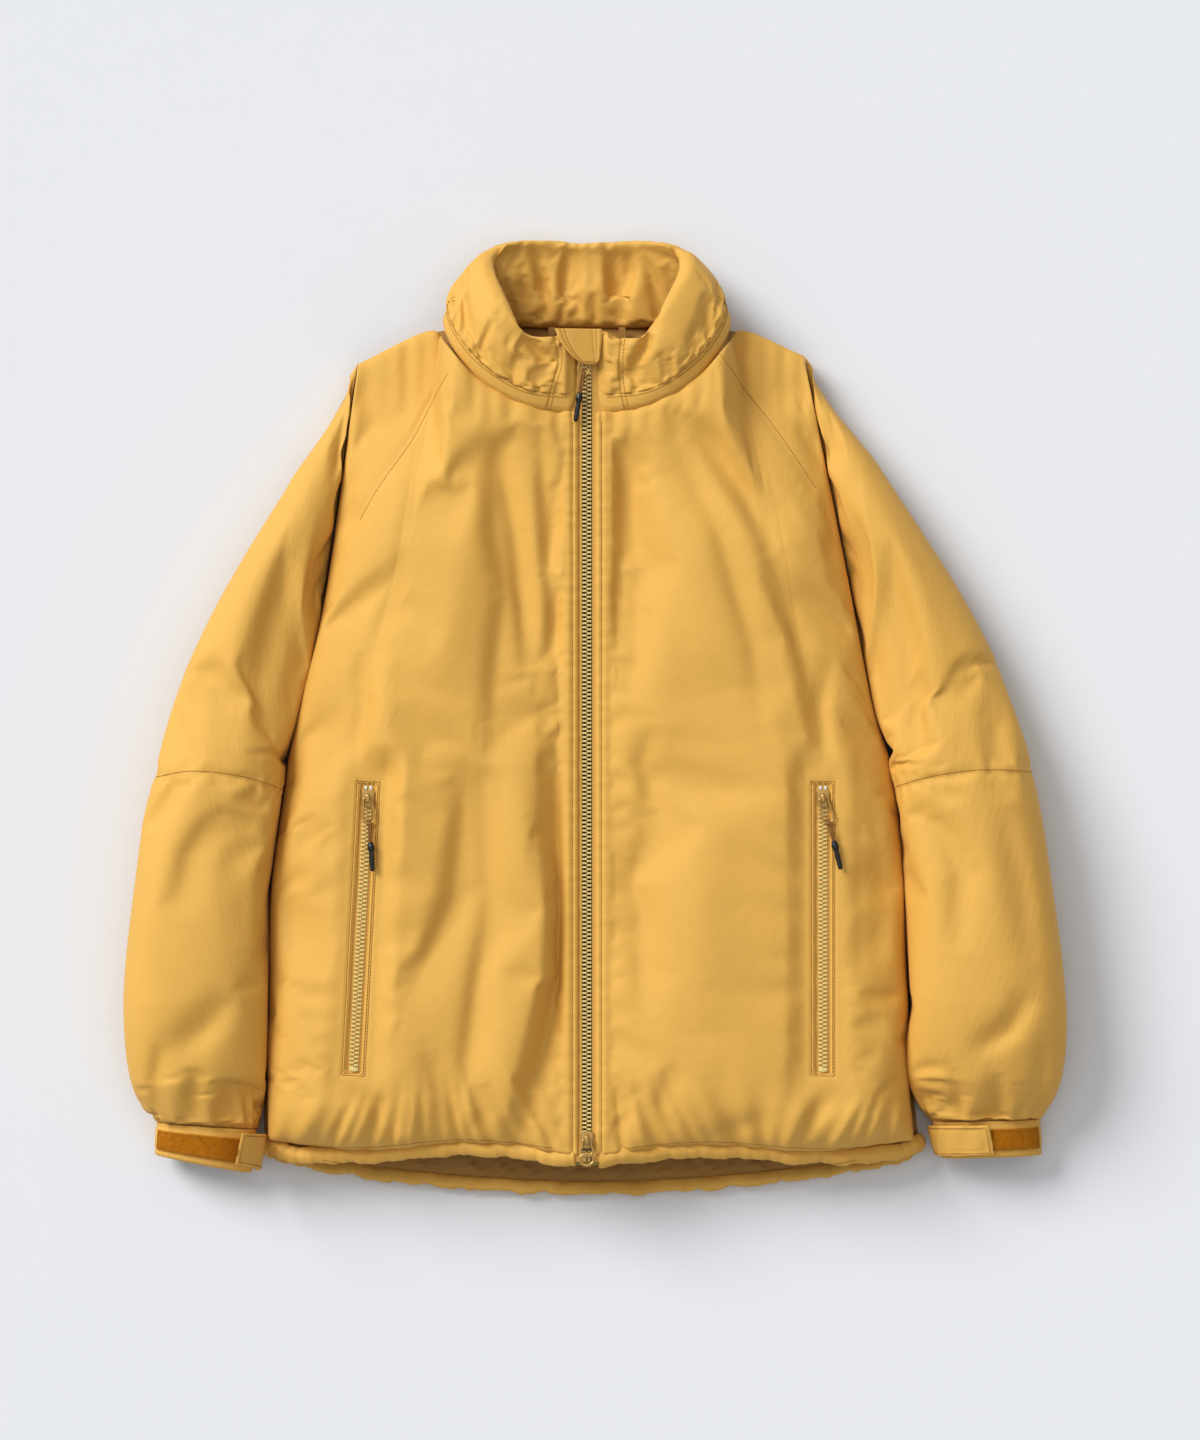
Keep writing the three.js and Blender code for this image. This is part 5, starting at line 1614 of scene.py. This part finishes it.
add_slider("top_slider", TOP_SLIDER)
add_slider("bottom_slider", BOTTOM_SLIDER)
top_nodes = ("top_pull_ring", "top_pull_cord", "top_cord_end")
add_pull("top_zip_pull", "top_pull", TOP_SLIDER, PULL_LEAN["top"], top_nodes)
for side in SIDES:
    x, y, tilt = POCKETS[side]
    turn = math.radians(tilt)
    spot = turned((0, -POCKET_SLIDER_DROP, POCKET_Z), turn) + (x, y, 0)
    add_slider(f"{side}_pocket_slider", spot, turn)
    nodes = [f"{side}_pocket_pull_{part}" for part in ("ring", "cord", "cord_end")]
    add_pull(f"{side}_pocket_zip_pull", f"{side}_pocket_pull", spot, turn + PULL_LEAN[side], nodes)


# %% The lower pull
def tab_parts():
    """The lower pull: two arms from the bar down to a flat disc with an oval hole."""
    arms = ring_path(12.4, 16)
    angle = np.linspace(0, 2 * np.pi, 72, endpoint=False)
    disc = np.column_stack([5.85 * np.cos(angle), -17.2 + 4.98 * np.sin(angle), 0 * angle])
    width = mix(0.92, 1.72, np.sin(angle) ** 2)
    return [rod(arms, (0, 0, 1), 0.85, 1.1, 14, True), rod(disc, (0, 0, 1), 0.85, width, 14, True)]


bottom_tab = solid("bottom_pull_disc", tab_parts(), painted_metal, BOTTOM_SLIDER + (0, 0, PULL_HEIGHT))
settle(bottom_tab, "pull_metal", "bottom_pull", "bottom_pull_tab")

# %% [markdown]
# Loop pile is a mat of tiny hooked threads. A second Geometry Nodes tree scatters short tufts over the
# strip with a fixed seed and turns each to the surface. A bump alone would leave the strip's outline sharp,
# and the real one is furry.

# %% A tree for pile
pile_inputs = {"Surface": "Geometry", "Tuft": "Object", "Density": "Float", "Finish": "Material"}
pile_tree = Tree("pile_on_surface", "Pile", **pile_inputs)
scatter = pile_tree.add(
    "GeometryNodeDistributePointsOnFaces",
    {
        "Mesh": pile_tree.source.outputs["Surface"],
        "Density": pile_tree.source.outputs["Density"],
        "Seed": 7,
    },
)
lean = pile_tree.add(
    "FunctionNodeRandomValue",
    {"Min": (-0.7, -0.7, -3), "Max": (0.7, 0.7, 3), "Seed": 3},
    data_type="FLOAT_VECTOR",
)
leaning = pile_tree.add(
    "FunctionNodeRotateRotation",
    {"Rotation": scatter["Rotation"], "Rotate By": lean["Value"]},
    rotation_space="LOCAL",
)
piece = pile_tree.add("GeometryNodeObjectInfo", {"Object": pile_tree.source.outputs["Tuft"]})
copies = pile_tree.add(
    "GeometryNodeInstanceOnPoints",
    {"Points": scatter["Points"], "Instance": piece["Geometry"], "Rotation": leaning[0]},
)
pile_tree.close(copies[0])
print(pile_tree.group.name, "has", len(pile_tree.group.nodes), "nodes")

# %% Pile on the strips
PILE_DENSITY = 1_600_000.0  # tufts in a square metre
tuft_path = curve([(0, 0, -0.1), (0.1, 0, 0.45), (0.45, 0, 0.6), (0.6, 0, 0.25)])(np.linspace(0, 1, 5))
tuft = solid("tuft", [rod(tuft_path, (0, 1, 0), 0.09, 0.09, 3)], loop_pile.material)
scene.collection.objects.unlink(tuft)
for side in SIDES:
    top_faces = bmesh.new()
    top_faces.from_mesh(strips[side].data)
    bmesh.ops.delete(top_faces, geom=[f for f in top_faces.faces if f.normal.z < 0.15], context="FACES")
    ground = bpy.data.meshes.new("pile_ground")
    top_faces.to_mesh(ground)
    top_faces.free()
    finish = loop_pile.material
    pile = pile_tree.grow(f"{side}_loop_pile", ground, Tuft=tuft, Density=PILE_DENSITY, Finish=finish)
    settle(pile, "hook_and_loop", "garment")

# %% [markdown]
# A few of the plain solids already have the right shape: the tapes of the front zip, the storm flap, the
# hanger loop, the film at the zip's foot, and the pin and box that join there. They stay, and only get
# their finish.

# %% Finishes on the kept solids
KEPT = {
    "right_zip_tape": tape_cloth, "left_zip_tape": tape_cloth, "storm_flap": outer_cloth_flat,
    "hanger_loop": lining_cloth_flat, "zip_end_film": film_plastic,
    "retainer_box": painted_metal, "insertion_pin": painted_metal,
}
for name, material in KEPT.items():
    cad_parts[name].material_slots[0].material = material
print(len(KEPT), "kept solids finished")

# %% [markdown]
# Seams are what make padded cloth look sewn. A stitch is a short bent rod of thread, and the row tree sets
# one every few millimetres along each seam. Each seam is first drawn in plan, then dropped onto the
# finished cloth, so the stitches follow every pucker. A bump line would vanish from the side.

# %% One stitch
STITCH_PITCH = 2.9
stitch_path = curve([(-1.15, 0, -0.1), (0, 0, 0.16), (1.15, 0, -0.1)])(np.linspace(0, 1, 4))
# The stitches' thread is dark partly with painted shade of the needle holes, not only its own colour.
stitch = solid("stitch", [rod(stitch_path, (0, 1, 0), 0.3, 0.26, 5)], thread_and_painted_shade)
scene.collection.objects.unlink(stitch)
print("stitch", len(stitch.data.polygons), "faces")


# %% Lines on the cloth
def surface(made):
    """A piece's surface, for dropping points onto."""
    mesh = made.data
    return BVHTree.FromPolygons([v.co for v in mesh.vertices], [tuple(p.vertices) for p in mesh.polygons])


def dropped(cloth, line, step=1.6):
    """A plan line, in millimetres, laid on the cloth below it."""
    line = np.array(line, float)
    run = np.concatenate([[0], np.cumsum(np.linalg.norm(np.diff(line, axis=0), axis=1))])
    places = np.linspace(0, run[-1], max(int(run[-1] / step), 2))
    points = []
    for x, y in zip(np.interp(places, run, line[:, 0]), np.interp(places, run, line[:, 1])):
        hit = cloth.ray_cast(Vector((x, y, 200)) * MM, Vector((0, 0, -1)))[0]
        if hit is not None:
            points.append(np.array(hit) / MM + (0, 0, 0.12))
    return np.array(points)


def beside(line, amount):
    """A plan line moved sideways by an amount."""
    line = np.array(line, float)
    ahead = np.gradient(line, axis=0)
    ahead /= np.linalg.norm(ahead, axis=1, keepdims=True)
    return line + np.column_stack([-ahead[:, 1], ahead[:, 0]]) * amount


def pocket_box(side, reach):
    """The stitched box around a pocket zip, in plan."""
    x, y, tilt = POCKETS[side]
    top, foot = reach - 7, 7 - reach - POCKET_LENGTH
    corners = [(-reach, top), (reach, top), (reach, foot), (-reach, foot), (-reach, top)]
    return turned(corners, math.radians(tilt)) + (x, y)


def around_patch(side, area, inset_angle, inset_share, lift):
    """A closed line inside the edges of a patch on a cuff."""
    (low_angle, high_angle), (low_share, high_share) = area
    a0, a1 = low_angle + inset_angle, high_angle - inset_angle
    s0, s1 = low_share + inset_share, high_share - inset_share
    corners = np.array([(a0, s0), (a1, s0), (a1, s1), (a0, s1), (a0, s0)])
    steps = np.linspace(0, 1, 24)[:, None]
    line = np.concatenate([mix(p, q, steps) for p, q in zip(corners[:-1], corners[1:])])
    return cuff_point(side, np.radians(line[:, 0]), line[:, 1], lift)


# %% Stitches
seams = []
for side, sign in SIDES.items():
    front = surface(fronts[side])
    placket_x = ZIP_X + sign * PLACKET_STITCH
    hem_line = curve(np.array(FRONT_HEM[side])[:, :2] + (0, HEM_SEAM + 4))(np.linspace(0.08, 0.98, 60))
    seams += [dropped(front, line) for line in (
        [(placket_x, -382), (placket_x, 258)],
        *[pocket_box(side, reach) for reach in POCKET_STITCHES],
        beside(curve(RAGLAN[side])(np.linspace(0, 1, 30)), 2.3),
        hem_line,
    )]
    sleeve = surface(sleeves[side])
    seams.append(dropped(sleeve, beside(curve(ELBOW[side])(np.linspace(0.03, 0.97, 40)), 2.2)))
collar_cloth = surface(collar)
for share in (BAND_SEAM - 0.012, BAND_SEAM + 0.03):
    for start, end in ((0.015, 0.3), (0.7, 0.985)):
        line = collar_face(np.linspace(start, end, 80), np.full(80, share))
        seams.append(dropped(collar_cloth, line[:, :2]))
for side in SIDES:
    seam = curve(FACING[side])(np.linspace(0, 1, 30))
    seams += [dropped(collar_cloth, beside(seam, amount)) for amount in (-1.9, 1.9)]
garage_cloth = surface(garage)
for inset_share in (0.104, 0.192):
    left = garage_point(np.full(20, inset_share), np.linspace(1, inset_share, 20))
    foot = garage_point(np.linspace(inset_share, 0.94, 24), np.full(24, inset_share))
    seams.append(dropped(garage_cloth, np.concatenate([left, foot[1:]])[:, :2]))
back_line = curve(BACK_HEM)(np.linspace(0.06, 0.94, 120)) + (0, 4.6)
seams.append(dropped(surface(hem), back_line))
for side in SIDES:
    seams.append(around_patch(side, STRIP_AREA, 2.5, 0.05, STRIP_LIFT + STRIP_THICKNESS + 0.1))
    tab_line = swung(side, around_patch(side, TAB_AREA, 4, 0.07, TAB_LIFT + TAB_THICKNESS + 0.25))
    tab_stitches = row(f"{side}_tab_stitches", [tab_line], stitch, STITCH_PITCH, thread_and_painted_shade)
    settle(tab_stitches, "outer_cloth", f"{side}_tab")
long_seams = [seam for seam in seams if len(seam) > 2]
stitches = row("seam_stitches", long_seams, stitch, STITCH_PITCH, thread_and_painted_shade)
settle(stitches, "outer_cloth", "garment")

# %% [markdown]
# The floor is one pale sheet just below the jacket, matt like seamless paper.

# %% Floor and its finish
FLOOR_REACH = 4
FLOOR_DROP = 0.0004
floor_mesh = bpy.data.meshes.new("floor")
signs = ((-1, -1), (1, -1), (1, 1), (-1, 1))
floor_corners = [(x * FLOOR_REACH, y * FLOOR_REACH, -FLOOR_DROP) for x, y in signs]
floor_mesh.from_pydata(floor_corners, [], [(0, 1, 2, 3)])
floor = bpy.data.objects.new("floor", floor_mesh)
scene.collection.objects.link(floor)
paper = Finish("floor_paper")
paper_grain = paper.noise(paper.node("ShaderNodeTexCoord", {}, {}, "Object"), 30, 3)
paper.set(base_color=paper.between(paper_grain, (0.722, 0.731, 0.752), (0.728, 0.737, 0.758)), roughness=0.9)
floor_mesh.materials.append(paper.material)
